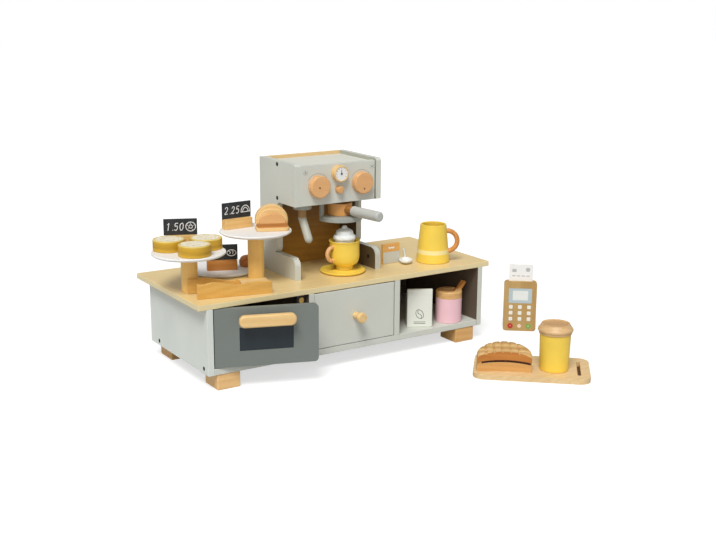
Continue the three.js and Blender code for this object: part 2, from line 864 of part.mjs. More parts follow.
function plateProfile(bottom) {
  return [
    [plateRadius - plateEdge, bottom],
    [plateRadius, bottom + plateEdge],
    [plateRadius, bottom + plateThickness - plateEdge / 2],
    [plateRadius - plateEdge / 2, bottom + plateThickness],
    [0, bottom + plateThickness],
  ];
}

function makeStand(name, x, y, height) {
  const place = placeAt(x, y, worktopTop);
  const underside = height - plateThickness;
  piece(name, turned([[0, 0], [standColumnRadius, 0], [standColumnRadius, underside],
    ...plateProfile(underside)]), whitePaint, place);
  return placeAt(0, 0, height, 0, place);
}

function makeSign(name, centre, angle, place) {
  const [x, y] = centre;
  const turnedPlace = placeAt(x, y, 0, angle, place);
  const base = block(-signWidth / 2, signWidth / 2, -signDepth / 2 - cardSetback,
    signDepth / 2 - cardSetback, 0, signHeight);
  const card = block(-cardWidth / 2, cardWidth / 2, -cardThickness / 2, cardThickness / 2,
    signHeight / 2, signHeight + cardRise);
  piece(name, join(base, card), blackBoard, turnedPlace);
}

function makeCakes(plate) {
  const cakeShares = [[-0.868, 0.967], [-0.151, -1.195], [1.287, 0.221]];
  const signShares = [0.353, 1.941];
  const profile = [
    [0, 0],
    [cakeRadius - cakeEdge / 2, 0],
    [cakeRadius, cakeEdge / 2],
    [cakeRadius, cakeHeight - cakeEdge],
    [cakeRadius - cakeEdge, cakeHeight],
    [0, cakeHeight],
  ];
  cakeShares.forEach(([x, y], i) => {
    const place = placeAt(x * cakeRadius, y * cakeRadius, 0, 0, plate);
    piece(`cake_${i + 1}`, turned(profile), cakePaint, place);
  });
  makeSign("price_sign_1", signShares.map((share) => share * cakeRadius), lowSignAngle, plate);
}

// The roll has three arched layers, each wider and taller than the one in front
function makeBreadRoll(plate) {
  const cornerShares = [-0.142, -0.341];
  const [x, y] = cornerShares.map((share) => share * plateRadius);
  const place = placeAt(x, y, 0, rollAngle, plate);
  const base = roundedRectangle(0, rollWidth, 0, rollDepth, rollBaseCorner);
  const layers = [
    { widthShare: 0.78, heightShare: 0.7, frontShare: 0.2, backShare: 0.42 },
    { widthShare: 0.9, heightShare: 0.87, frontShare: 0.38, backShare: 0.6 },
    { widthShare: 0.98, heightShare: 1, frontShare: 0.56, backShare: 0.98 },
  ];
  const archShoulderShare = 0.2;
  const archBottom = rollBaseHeight + rollSlit;
  const arches = layers.map(({ widthShare, heightShare, frontShare, backShare }) => {
    const half = rollWidth * widthShare / 2;
    const rise = rollHeight * heightShare - archBottom;
    const shoulder = rise * archShoulderShare;
    const arch = new THREE.Shape();
    arch.moveTo(half, 0);
    arch.lineTo(half, shoulder);
    arch.absellipse(0, shoulder, half, rise - shoulder, 0, 2 * quarterTurn);
    arch.lineTo(-half, 0);
    const layer = frontPlate(arch, rollDepth * frontShare, rollDepth * backShare);
    return layer.translate(rollWidth / 2, 0, archBottom);
  });
  const core = block(rollCoreInset, rollWidth - rollCoreInset, rollCoreFront, rollDepth - rollCoreInset,
    rollBaseHeight / 2, archBottom + rollSlit);
  piece("bread_roll", join(floorPlate(base, 0, rollBaseHeight), core, ...arches), paleBeech, place);
}

function makePastry(plate) {
  const centreShares = [0.69, -0.211];
  const [x, y] = centreShares.map((share) => share * plateRadius);
  const place = placeAt(x, y, 0, 0, plate);
  const shoulderShare = 0.55;
  const domeShare = 0.85;
  piece("pastry", turned([
    [0, 0],
    [pastryRadius * domeShare, 0],
    [pastryRadius, pastryHeight * (1 - domeShare)],
    [pastryRadius, pastryHeight * shoulderShare],
    [pastryRadius * domeShare, pastryHeight * domeShare],
    [pastryRadius * shoulderShare, pastryHeight],
    [0, pastryHeight],
  ], smallTurnSteps), paleBeech, place);
}

function makeStands() {
  const tallX = machineLeft - plateRadius + plateUnderHead;
  const lowX = tallX - 2 * plateRadius - plateGap;
  makeCakes(makeStand("low_cake_stand", lowX, lowStandY, lowStandHeight));

  const tallPlate = makeStand("tall_cake_stand", tallX, tallStandY, tallStandHeight);
  const tallSignShares = [-0.325, 0.504];
  makeSign("price_sign_2", tallSignShares.map((share) => share * plateRadius), tallSignAngle, tallPlate);
  makeBreadRoll(tallPlate);

  const servingPlace = placeAt(servingPlateX, servingPlateY, worktopTop);
  piece("serving_plate", turned([[0, 0], ...plateProfile(0)]), whitePaint, servingPlace);
  const servingPlate = placeAt(0, 0, plateThickness, 0, servingPlace);
  const servingSignShares = [-0.132, -0.216];
  makeSign("price_sign_3", servingSignShares.map((share) => share * plateRadius), servingSignAngle,
    servingPlate);
  makePastry(servingPlate);
}

// Tongs, standing on edge with their arms open to the left

function makeTongs() {
  const place = placeAt(tongsX, tongsY, worktopTop);
  const topShares = [[0, 1], [0.3, 1.03], [0.46, 0.93], [0.62, 1.12], [0.78, 1.3], [0.9, 1.2], [1, 1.24]];
  const wave = new THREE.SplineCurve(topShares.map(([along, high]) => new THREE.Vector2(
    -along * tongsLength, high * tongsHeight)));
  const side = new THREE.Shape([new THREE.Vector2(-tongsLength, 0), new THREE.Vector2(0, 0),
    ...wave.getPoints(3 * arcSteps)]);
  const half = tongsBlockDepth / 2;
  const frontArm = frontPlate(side, 0, tongsThickness).rotateZ(-radians(tongsFrontAngle));
  const rearArm = frontPlate(side, -tongsThickness, 0).rotateZ(-radians(tongsRearAngle));
  const meanAngle = (tongsFrontAngle + tongsRearAngle) / 2;
  const spacer = block(-tongsBlockLength, 0, tongsThickness / 2 - half, half - tongsThickness / 2,
    0, tongsHeight).rotateZ(-radians(meanAngle));
  piece("tongs", join(frontArm.translate(0, -half, 0), rearArm.translate(0, half, 0), spacer), beech, place);
}

// Things on the counter's shelf

function makeCoffeeBag() {
  const bagX = shelfBayLeft + shelfBayWidth * bagShare;
  const place = placeAt(bagX, bagY, bayFloor, bagAngle);
  const halfDepth = bagDepth / 2;
  const profile = outlineOf([[-halfDepth, 0], [halfDepth, 0], [halfDepth, bagShoulder],
    [bagFoldDepth - halfDepth, bagHeight], [-halfDepth, bagHeight]]);
  piece("coffee_bag", sidePlate(profile, -bagWidth / 2, bagWidth / 2), bagPaint, place);
}

function makeSugarJar() {
  const jarX = shelfBayLeft + shelfBayWidth * jarShare;
  const spoonReach = caseInner - jarSpoonEndGap - jarX;
  const spoonRun = spoonReach + jarSpoonFoot;
  const spoonLength = spoonRun / Math.cos(radians(jarSpoonLean));
  const spoonTop = jarSpoonFootHeight + spoonRun * Math.tan(radians(jarSpoonLean));
  const place = placeAt(jarX, jarY, bayFloor, jarSpoonTurn);
  const bore = jarRadius - jarWall;
  piece("sugar_jar", turned([
    [0, 0],
    [jarRadius, 0],
    [jarRadius, jarHeight],
    [bore, jarHeight],
    [bore, jarFloor],
    [0, jarFloor],
  ]), pinkPaint, place);

  const bar = (grow) => block(-spoonLength - grow, grow,
    -jarSpoonWidth / 2 - grow, jarSpoonWidth / 2 + grow,
    -jarSpoonThickness / 2 - grow, jarSpoonThickness / 2 + grow);
  const lean = (geometry, lift = 0) => geometry.rotateY(-radians(jarSpoonLean))
    .translate(spoonReach, 0, spoonTop + lift);
  const lidTop = jarHeight + jarLidHeight;
  const lid = turned([
    [0, jarHeight - jarLidPlug],
    [bore - runningGap, jarHeight - jarLidPlug],
    [bore - runningGap, jarHeight],
    [jarRadius, jarHeight],
    [jarRadius, lidTop - jarLidEdge],
    [jarRadius - jarLidEdge, lidTop],
    [0, lidTop],
  ]);
  const hole = disc(jarLidHoleRadius, jarHeight - jarLidPlug - overrun, lidTop + overrun, smallTurnSteps);
  const slots = [0, jarLidHeight / 2, jarLidHeight].map((lift) => lean(bar(2 * runningGap), lift));
  piece("jar_lid", cut(lid, hole, ...slots), paleBeech, place);

  const scoop = new THREE.SphereGeometry(1, smallTurnSteps, 2 * arcSteps)
    .scale(jarSpoonWidth, jarScoopHalfWidth, jarSpoonThickness / 2).translate(-spoonLength, 0, 0);
  piece("jar_spoon", lean(join(bar(0), scoop)), beech, place);
}

// Card terminal and bank card

function makeCardTerminal() {
  const place = placeAt(terminalX, terminalY, 0, terminalAngle);
  const half = terminalWidth / 2;
  const outline = roundedRectangle(-half, half, 0, terminalHeight, terminalCorner);
  const body = frontPlate(outline, 0, terminalDepth);
  const screenTop = terminalHeight - screenTopMargin;
  const screen = block(-screenWidth / 2, screenWidth / 2, -overrun, screenRecess,
    screenTop - screenHeight, screenTop);
  const middle = terminalDepth / 2;
  const cardBottom = terminalHeight - bankCardDepth;
  const slot = block(-bankCardWidth / 2 - runningGap, bankCardWidth / 2 + runningGap,
    middle - bankCardThickness / 2 - runningGap, middle + bankCardThickness / 2 + runningGap,
    cardBottom - runningGap, terminalHeight + overrun);
  piece("card_terminal", cut(body, screen, slot), beech, place);
  piece("bank_card", block(-bankCardWidth / 2, bankCardWidth / 2, middle - bankCardThickness / 2,
    middle + bankCardThickness / 2, cardBottom, terminalHeight + bankCardRise), whitePaint, place);
}

// Serving tray, croissant and to-go cup

// A crescent in plan, with a lobed arch as its top and an arched slit in its front
function croissant() {
  const half = croissantLength / 2;
  const plan = new THREE.Shape();
  plan.moveTo(-half, 0);
  plan.quadraticCurveTo(0, croissantBow, half, 0);
  plan.lineTo(half, croissantTipWidth);
  plan.quadraticCurveTo(half, croissantWidth, 0, croissantWidth);
  plan.quadraticCurveTo(-half, croissantWidth, -half, croissantTipWidth);

  const lobes = 5;
  const lobeSteps = 4;
  const rise = croissantHeight - croissantEndHeight;
  const side = [[half, 0]];
  for (let i = 0; i <= lobes * lobeSteps; i += 1) {
    const along = 1 - 2 * i / (lobes * lobeSteps);
    const arch = Math.sqrt(1 - along * along);
    const lobe = croissantLobe * (Math.abs(Math.sin(Math.PI * i / lobeSteps)) - 1);
    side.push([along * half, croissantEndHeight + rise * arch + lobe]);
  }
  side.push([-half, 0]);
  const front = -overrun;
  const body = common(floorPlate(plan, 0, croissantHeight), frontPlate(outlineOf(side), front,
    croissantWidth + overrun));

  const slit = new THREE.Shape();
  const slitTop = croissantSlit / 2;
  slit.moveTo(croissantSlitEnd - half, -slitTop);
  slit.quadraticCurveTo(0, croissantSlitRise, half + overrun, -slitTop);
  slit.lineTo(half + overrun, slitTop);
  slit.quadraticCurveTo(0, croissantSlitRise + croissantSlit, croissantSlitEnd - half, slitTop);
  const cutter = frontPlate(slit, front, croissantWidth - croissantSpine);
  return cut(body, cutter.translate(0, 0, croissantSlitHeight));
}

function makeTray() {
  const tray = placeAt(trayX, trayY, 0, trayAngle);
  const halfLength = trayLength / 2;
  const halfWidth = trayWidth / 2;
  const board = roundedRectangle(-halfLength, halfLength, -halfWidth, halfWidth, trayCorner);
  const slots = [-1, 1].map((side) => {
    const middle = side * (halfLength - traySlotInset - traySlotWidth / 2);
    return floorPlate(roundedRectangle(middle - traySlotWidth / 2, middle + traySlotWidth / 2,
      -traySlotLength / 2, traySlotLength / 2, traySlotWidth / 2), -overrun, trayThickness + overrun);
  });
  piece("serving_tray", cut(floorPlate(board, 0, trayThickness), ...slots), paleBeech, tray);

  const croissantShares = [-0.465, -0.675];
  const croissantPlace = placeAt(croissantShares[0] * halfLength, croissantShares[1] * halfWidth,
    trayThickness, croissantAngle, tray);
  piece("croissant", croissant(), beech, croissantPlace);

  const cupShares = [0.381, -0.147];
  const cupPlace = placeAt(cupShares[0] * halfLength, cupShares[1] * halfWidth, trayThickness, 0, tray);
  piece("togo_cup", turned([
    [0, 0],
    [togoCupBottomRadius, 0],
    [togoCupTopRadius, togoCupHeight],
    [togoCupTopRadius - togoCupWall, togoCupHeight],
    [togoCupBottomRadius - togoCupWall, togoCupWall],
    [0, togoCupWall],
  ]), yellowPaint, cupPlace);

  const seat = togoCupHeight;
  const lidTop = seat + togoLidHeight;
  const plugRadius = Math.min(togoCupTopRadius, togoCupBottomRadius) - togoCupWall - runningGap;
  piece("togo_lid", turned([
    [0, seat - togoLidPlug],
    [plugRadius, seat - togoLidPlug],
    [plugRadius, seat],
    [togoCupTopRadius, seat],
    [togoLidRimRadius, seat + togoLidRimHeight],
    [togoLidRimRadius, seat + togoLidRimHeight + togoCupWall],
    [togoLidTopRadius + togoCupWall / 2, lidTop - togoCupWall / 2],
    [togoLidTopRadius, lidTop],
    [0, lidTop],
  ]), beech, cupPlace);
}

makeCounter();
makeGrillDoor();
makeDoorCatch();
makeDrawer();
makeMachineCase();
makeDials();
makeSteamWand();
makeFilterHolder();
makeCoffeeCup();
makeMilkJug();
makeTeaThings();
makeStands();
makeTongs();
makeCoffeeBag();
makeSugarJar();
makeCardTerminal();
makeTray();

// The origin sits under the middle of the whole set, on the floor
const reach = new THREE.Box3().setFromObject(shop, true);
const middle = reach.getCenter(new THREE.Vector3());
assembly.position.set(-middle.x, -middle.y, -reach.min.z);

export default shop;
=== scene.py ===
"""Looks of the wooden toy coffee shop: shapes, finishes, light and camera. Metres, +Z up."""

import json
from math import ceil, cos, exp, hypot, pi, radians, sin, sqrt

import bmesh
import bpy
from mathutils import Matrix, Vector, noise


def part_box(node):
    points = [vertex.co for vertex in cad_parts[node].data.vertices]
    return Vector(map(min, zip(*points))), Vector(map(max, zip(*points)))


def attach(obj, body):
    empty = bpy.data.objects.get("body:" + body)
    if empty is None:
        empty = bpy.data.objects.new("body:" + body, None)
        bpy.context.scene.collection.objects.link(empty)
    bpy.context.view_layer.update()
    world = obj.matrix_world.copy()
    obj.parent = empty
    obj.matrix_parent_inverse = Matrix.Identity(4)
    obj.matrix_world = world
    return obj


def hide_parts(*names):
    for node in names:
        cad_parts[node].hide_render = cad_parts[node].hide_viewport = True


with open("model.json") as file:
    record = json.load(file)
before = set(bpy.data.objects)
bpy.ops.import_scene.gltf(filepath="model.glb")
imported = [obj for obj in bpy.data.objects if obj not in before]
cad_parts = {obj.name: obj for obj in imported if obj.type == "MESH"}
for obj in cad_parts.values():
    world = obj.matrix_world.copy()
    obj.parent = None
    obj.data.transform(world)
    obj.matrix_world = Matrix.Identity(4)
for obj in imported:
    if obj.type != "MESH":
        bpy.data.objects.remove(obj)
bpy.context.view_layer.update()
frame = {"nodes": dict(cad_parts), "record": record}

MM = 0.001
BODY_OF = {
    node: body
    for body, nodes in frame["record"]["behaviour"]["bodies"].items()
    for node in nodes
}
SLOT_OF = {part["node"]: part["material_slot"] for part in frame["record"]["subparts"]}

# Lengths in the calls below are in millimetres. x is counted from the middle of the worktop,
# y from its front edge and z from the floor.
worktop_low, worktop_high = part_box("worktop")
ORIGIN = Vector(((worktop_low.x + worktop_high.x) / 2, worktop_low.y, 0))
TOP = 150
BAY_FLOOR = 38.5


def rotation(angle, axis="Z", size=4):
    return Matrix.Rotation(radians(angle), size, axis)


def at(x, y, z=0, turn=0):
    """The place of a piece: its position, and its turn about Z in degrees."""
    return Matrix.Translation(ORIGIN + Vector((x, y, z)) * MM) @ rotation(turn)


def moved(base, x=0, y=0, z=0, turn=0, axis="Z"):
    """A place given from another one."""
    return base @ Matrix.Translation(Vector((x, y, z)) * MM) @ rotation(turn, axis)


# These turn a piece so that its Z points forward, to the left or to the right.
FORWARD = rotation(90, "X")
LEFTWARD = rotation(-90, "Y")
RIGHTWARD = LEFTWARD.inverted()
HOME = Matrix.Identity(4)


# Finishes


def linear(colour, gain=1):
    """An sRGB colour from 0 to 255, times the gain, as linear values."""
    values = [min(255, c * gain) / 255 for c in colour]
    return tuple(c / 12.92 if c <= 0.04045 else ((c + 0.055) / 1.055) ** 2.4 for c in values) + (1,)


def feed(tree, socket, value):
    """Gives an input a fixed value or another node's output."""
    if isinstance(value, bpy.types.NodeSocket):
        tree.links.new(value, socket)
    else:
        socket.default_value = value


def add_node(tree, kind, **values):
    """A new node. Each value goes to the input of its name, or else to the setting."""
    made = tree.nodes.new("ShaderNode" + kind)
    for key, value in values.items():
        socket = key.replace("_", " ").title()
        if socket in made.inputs:
            feed(tree, made.inputs[socket], value)
        else:
            setattr(made, key, value)
    return made


class Finish:
    """A material and short calls that add nodes to it."""

    def __init__(self, name, roughness, specular=0.5):
        self.material = bpy.data.materials.new(name)
        self.material.use_nodes = True
        self.tree = self.material.node_tree
        self.shader = self.tree.nodes["Principled BSDF"]
        self.link(roughness, "Roughness")
        self.link(specular, "Specular IOR Level")

    def add(self, kind, **values):
        return add_node(self.tree, kind, **values)

    def link(self, value, socket):
        feed(self.tree, self.shader.inputs[socket], value)

    def coords(self, scale=(1, 1, 1), offset=0):
        point = self.add("TexCoord").outputs["Object"]
        shift = (offset * 0.37, offset * 0.53, offset * 0.71)
        return self.add("Mapping", vector=point, location=shift, scale=scale).outputs["Vector"]

    def height(self):
        """The height in metres."""
        return self.add("SeparateXYZ", vector=self.coords()).outputs["Z"]

    def noise(self, vector, scale, detail=2, roughness=0.5, distortion=0):
        shape = {"scale": scale, "detail": detail, "roughness": roughness, "distortion": distortion}
        return self.add("TexNoise", vector=vector, **shape).outputs["Fac"]

    def wave(self, vector, bands_direction, **shape):
        made = self.add("TexWave", vector=vector, bands_direction=bands_direction, **shape)
        return made.outputs["Fac"]

    def ramp(self, value, low, high, start=0, end=1):
        made = self.add("MapRange", value=value, from_min=low, from_max=high, to_min=start, to_max=end)
        return made.outputs["Result"]

    def mix(self, share, first, second):
        """A blend of two colours. A colour of three numbers is in sRGB."""
        made = self.add("Mix", data_type="RGBA")
        for socket, value in ((0, share), (6, first), (7, second)):
            srgb = isinstance(value, tuple) and len(value) == 3
            feed(self.tree, made.inputs[socket], linear(value) if srgb else value)
        return made.outputs[2]

    def math(self, operation, first, second):
        made = self.add("Math", operation=operation)
        for socket, value in zip(made.inputs, (first, second)):
            feed(self.tree, socket, value)
        return made.outputs["Value"]

    def gloss(self, pattern, low, high):
        """Roughness between two values, by the pattern."""
        self.link(self.ramp(pattern, 0.3, 0.7, low, high), "Roughness")

    def bump(self, height, strength, distance=0.0002):
        made = self.add("Bump", height=height, strength=strength, distance=distance)
        self.link(made.outputs["Normal"], "Normal")

    def done(self, colour):
        self.link(colour, "Base Color")
        return self.material


def wood(name, light, dark, grain="X", seed=0, contrast=0.55, roughness=0.42, painted_shade=None):
    """Lacquered wood: wavy growth lines, fine dark flecks and a slow change of tone.

    grain names the axis, or axes, that the lines follow. The last argument, if given, is painted shade:
    a dark tone, the two heights in metres between which the wood darkens to it, and the height above
    which the wood has a paler tone of its own, and that tone.
    """
    finish = Finish(name, roughness, 0.4)

    def along_grain(share):
        return tuple(share if axis in grain else 1 for axis in "XYZ")

    line_stretch, fleck_stretch = 0.045, 0.1
    vector = finish.coords(along_grain(line_stretch), seed)
    lines = finish.noise(vector, 260, 3, 0.6, 0.6)
    wave = finish.wave(vector, "DIAGONAL", scale=48, distortion=5, detail=2, detail_scale=1.5)
    growth = finish.math("ADD", finish.math("MULTIPLY", lines, 0.7), finish.math("MULTIPLY", wave, 0.3))
    share = finish.ramp(growth, 0.28, 0.72, 0.5 - contrast / 2, 0.5 + contrast / 2)
    colour = finish.mix(share, light, dark)
    slow = finish.noise(finish.coords(offset=seed + 3), 16, 1)
    colour = finish.mix(finish.ramp(slow, 0.3, 0.7, 0, 0.25), colour, linear(dark, 0.95))
    flecks = finish.noise(finish.coords(along_grain(fleck_stretch), seed + 7), 1100, 1)
    dots = finish.ramp(flecks, 0.62, 0.74, 0, 0.2)
    colour = finish.mix(dots, colour, linear(dark, 0.6))
    # Painted shade: the wood darkens between the two heights; above them it has its own paler tone.
    if painted_shade:
        tone, low, high, above, bright = painted_shade
        height = finish.height()
        border = above - 0.002
        below = finish.ramp(height, border, above, 1, 0)
        share = finish.math("MULTIPLY", finish.ramp(height, low, high, 0, 0.85), below)
        colour = finish.mix(share, colour, tone)
        colour = finish.mix(finish.ramp(height, border, above, 0, 0.8), colour, bright)
    finish.gloss(lines, roughness - 0.06, roughness + 0.08)
    finish.bump(finish.math("SUBTRACT", lines, dots), 0.12)
    return finish.done(colour)


def paint(name, colour, roughness=0.45, spread=0.012, lower=None):
    """Satin paint on smooth board, with a faint orange peel and a slow change of tone.

    lower is another tone, and the height in metres below which the paint has it.
    """
    finish = Finish(name, roughness, 0.4)
    slow = finish.noise(finish.coords(), 14, 3, 0.55)
    mixed = finish.mix(finish.ramp(slow, 0.3, 0.7), linear(colour, 1 - spread), linear(colour, 1 + spread))
    if lower:
        tone, level = lower
        mixed = finish.mix(finish.ramp(finish.height(), level, level + 0.004, 1, 0), mixed, tone)
    peel = finish.noise(finish.coords(offset=2), 620, 2)
    finish.gloss(peel, roughness - 0.05, roughness + 0.05)
    finish.bump(peel, 0.08)
    return finish.done(mixed)


def stained(name, light, dark, seed):
    """Paint thin enough to show the wood's lines under it."""
    return wood(name, light, dark, "XY", seed, 0.8, 0.45)


def icing(name, base, pale):
    """Rough pale icing that breaks up over a darker ground."""
    finish = Finish(name, 0.75, 0.3)
    vector = finish.coords(offset=4)
    coarse = finish.noise(vector, 170, 4, 0.65, 0.4)
    fine = finish.noise(vector, 620, 2)
    patches = finish.ramp(finish.math("ADD", coarse, finish.math("MULTIPLY", fine, 0.35)), 0.52, 0.66)
    colour = finish.mix(patches, base, pale)
    colour = finish.mix(finish.ramp(fine, 0.35, 0.65, 0, 0.3), colour, linear(pale, 1.06))
    finish.bump(finish.math("ADD", coarse, fine), 0.5, 0.0006)
    return finish.done(colour)


def chalkboard(name):
    """Matt dark board with wiped chalk dust."""
    finish = Finish(name, 0.82, 0.25)
    dust = finish.noise(finish.coords((1, 1, 0.35), 1), 90, 4, 0.6)
    finish.bump(finish.noise(finish.coords(), 1400, 1), 0.15)
    return finish.done(finish.mix(finish.ramp(dust, 0.4, 0.75, 0, 0.5), (46, 49, 51), (76, 79, 80)))


def chalk(name):
    finish = Finish(name, 0.95, 0.1)
    grit = finish.noise(finish.coords(), 1500, 2, 0.7)
    return finish.done(finish.mix(finish.ramp(grit, 0.35, 0.6), (206, 208, 208), (252, 252, 250)))


def metal(name, colour, roughness=0.3):
    finish = Finish(name, roughness)
    finish.link(1, "Metallic")
    scratches = finish.noise(finish.coords((1, 8, 1)), 400, 2)
    finish.gloss(scratches, roughness - 0.08, roughness + 0.1)
    return finish.done(finish.mix(scratches, linear(colour, 0.85), colour))


def plywood(name, seed=0):
    """Birch plywood: long grain on the faces and thin glue lines on the edges."""
    finish = Finish(name, 0.3, 0.5)
    lines = finish.noise(finish.coords((0.05, 1, 1), seed), 150, 3, 0.6, 0.8)
    face = finish.mix(finish.ramp(lines, 0.3, 0.7, 0.1, 0.9), (238, 213, 156), (228, 199, 138))
    slow = finish.noise(finish.coords((0.5, 1, 1), seed + 2), 9, 1)
    face = finish.mix(finish.ramp(slow, 0.35, 0.7, 0, 0.3), face, (230, 202, 142))
    flecks = finish.noise(finish.coords((0.08, 1, 1), seed + 7), 900, 1)
    face = finish.mix(finish.ramp(flecks, 0.64, 0.76, 0, 0.2), face, (182, 142, 88))
    wave = finish.wave(finish.coords(), "Z", scale=165, distortion=0.5)
    plies = finish.mix(finish.ramp(wave, 0.35, 0.65), (224, 204, 152), (240, 224, 178))
    normal = finish.add("TexCoord").outputs["Normal"]
    parts = finish.add("SeparateXYZ", vector=normal)
    upright = finish.math("ABSOLUTE", parts.outputs["Z"], 0)
    finish.bump(lines, 0.08)
    return finish.done(finish.mix(finish.ramp(upright, 0.4, 0.6), plies, face))


BEECH = ((232, 182, 108), (212, 156, 84))
PALE = ((242, 208, 148), (226, 184, 120))
WARM = ((228, 176, 116), (216, 160, 100))


def pale_wood(grain, seed):
    return wood(f"pale_beech_{grain}_{seed:g}", *PALE, grain, seed)


def warm_wood(grain, seed):
    return wood(f"warm_beech_{grain}_{seed:g}", *WARM, grain, seed)


GREY = paint("grey_paint", (208, 210, 200))
DOOR_GREY = paint("door_grey_paint", (120, 126, 121))
PALE_GREY = paint("pale_grey_paint", (198, 198, 188))
# A darker copy of the pale grey for the steam wand under the head: painted shade.
SHADED_WAND_GREY = paint("shaded_wand_grey_paint", (180, 180, 166))
GRIP_GREY = paint("grip_grey_paint", (188, 190, 184))
# A darker copy of the machine's grey for the parts under the head: painted shade.
SHADED_HOLDER_GREY = paint("shaded_holder_grey_paint", (158, 162, 154))
WHITE = paint("white_paint", (240, 239, 236), 0.42, 0.02)
CREAM = paint("cream_white_paint", (236, 238, 235), 0.4, 0.02)
YELLOW = paint("yellow_paint", (243, 208, 82), 0.42, 0.03)
PINK = paint("pink_paint", (240, 196, 204), 0.42, 0.02)
DARK = paint("dark_paint", (58, 55, 50), 0.6)
SHADE = paint("shade_paint", (98, 84, 70), 0.8)
CHEEK_SHADE = paint("cheek_shade_paint", (176, 176, 162), 0.6, lower=((104, 88, 62), 0.282))
BLACK = paint("black_print", (40, 42, 44), 0.6)
BRASS = metal("brass", (222, 184, 106), 0.28)
SCREW = metal("screw_steel", (50, 52, 52), 0.5)
BOARD = chalkboard("chalkboard")
CHALK = chalk("chalk")


# Shapes


def rounded(points, radius, steps=4):
    """The polyline with its inner corners rounded. A third value in a point is its own radius."""
    out = [tuple(points[0][:2])]
    for before, corner, after in zip(points, points[1:], points[2:]):
        own = corner[2] if len(corner) > 2 else radius
        middle = Vector(corner[:2])
        to_before = Vector(before[:2]) - middle
        to_after = Vector(after[:2]) - middle
        reach = min(own, 0.48 * to_before.length, 0.48 * to_after.length)
        if reach < 0.01:
            out.append(tuple(middle))
            continue
        start = middle + to_before.normalized() * reach
        end = middle + to_after.normalized() * reach
        for i in range(steps + 1):
            t = i / steps
            out.append(tuple(start * (1 - t) ** 2 + middle * 2 * t * (1 - t) + end * t**2))
    out.append(tuple(points[-1][:2]))
    return out


def spread(points, longest):
    """The polyline with points added so that no stretch is longer than this."""
    out = [tuple(points[0])]
    for start, end in zip(points, points[1:]):
        count = max(1, ceil((Vector(end) - Vector(start)).length / longest))
        out += [tuple(Vector(start).lerp(Vector(end), (i + 1) / count)) for i in range(count)]
    return out


def smooth_curve(points, per_span=6):
    """A Catmull-Rom curve through the points."""
    guide = [Vector(p) for p in points]
    guide = [2 * guide[0] - guide[1]] + guide + [2 * guide[-1] - guide[-2]]
    out = []
    for a, b, c, d in zip(guide, guide[1:], guide[2:], guide[3:]):
        second = 2 * a - 5 * b + 4 * c - d
        third = 3 * b - a - 3 * c + d
        for i in range(per_span):
            t = i / per_span
            out.append(0.5 * (2 * b + (c - a) * t + second * t**2 + third * t**3))
    out.append(guide[-2])
    return [tuple(p) for p in out]


def loop(x, y, wide, high, steps=18, start=0, end=360):
    """An ellipse, or the part of one between two angles in degrees."""
    angles = [radians(start + (end - start) * i / steps) for i in range(steps + 1)]
    return [(x + wide * cos(a), y + high * sin(a)) for a in angles]


def arc(x, y, radius, start, end, steps=10):
    return loop(x, y, radius, radius, steps, start, end)


def round_box(left, right, low, high, radius, steps):
    return (
        arc(right - radius, low + radius, radius, -90, 0, steps)
        + arc(right - radius, high - radius, radius, 0, 90, steps)
        + arc(left + radius, high - radius, radius, 90, 180, steps)
        + arc(left + radius, low + radius, radius, 180, 270, steps)
    )


def join_rings(bm, rings):
    """Faces between each ring of vertices and the next. A ring of one vertex is a tip."""
    for low, high in zip(rings, rings[1:]):
        count = max(len(low), len(high))
        if count == 1:
            continue
        for i in range(count):
            j = (i + 1) % count
            if len(low) == 1:
                bm.faces.new((low[0], high[j], high[i]))
            elif len(high) == 1:
                bm.faces.new((low[i], low[j], high[0]))
            else:
                bm.faces.new((low[i], low[j], high[j], high[i]))


def lathe(profile, steps=80, wobble=None):
    """A profile of (radius, height) points turned about Z. wobble scales a radius by angle and height."""
    bm = bmesh.new()
    rings = []
    for radius, height in profile:
        if radius < 1e-4:
            rings.append([bm.verts.new((0, 0, height * MM))])
            continue
        ring = []
        for i in range(steps):
            angle = 2 * pi * i / steps
            own = radius * (wobble(angle, height) if wobble else 1)
            ring.append(bm.verts.new((own * cos(angle) * MM, own * sin(angle) * MM, height * MM)))
        rings.append(ring)
    join_rings(bm, rings)
    return bm


def rod(radius, low, high, low_edge, high_edge, steps, corner_steps=4):
    """A turned bar along Z, its two rims rounded."""
    outline = [(0, low), (radius, low, low_edge), (radius, high, high_edge), (0, high)]
    return lathe(rounded(outline, 0, corner_steps), steps)


def slab(outline, low, high, plane="XY"):
    """An outline raised between two levels along the axis that the plane leaves out."""
    order = {"XY": (0, 1, 2), "XZ": (0, 2, 1), "YZ": (1, 2, 0)}[plane]

    def vertex(u, v, w):
        point = [0, 0, 0]
        for axis, value in zip(order, (u, v, w)):
            point[axis] = value * MM
        return bm.verts.new(point)

    bm = bmesh.new()
    points = []
    for point in outline:
        if not points or (Vector(point) - Vector(points[-1])).length > 1e-4:
            points.append(tuple(point))
    if (Vector(points[0]) - Vector(points[-1])).length < 1e-4:
        points.pop()
    rings = [[vertex(u, v, level) for u, v in points] for level in (low, high)]
    for ring in rings:
        bm.faces.new(ring)
    join_rings(bm, rings)
    return bm


def frame_slab(outline, hole, front, back):
    """An outline in XZ with a hole in it, running from front to back."""
    bm = bmesh.new()
    levels = []
    for level in (front, back):
        rings = []
        for points in (outline, hole):
            rings.append([bm.verts.new((x * MM, level * MM, z * MM)) for x, z in points])
        edges = []
        for ring in rings:
            edges += [bm.edges.new(pair) for pair in zip(ring, ring[1:] + ring[:1])]
        bmesh.ops.triangle_fill(bm, use_beauty=True, use_dissolve=False, edges=edges)
        levels.append(rings)
    for pair in zip(*levels):
        join_rings(bm, pair)
    return bm


def cuboid(left, right, front, back, bottom, top):
    return slab([(left, front), (right, front), (right, back), (left, back)], bottom, top)


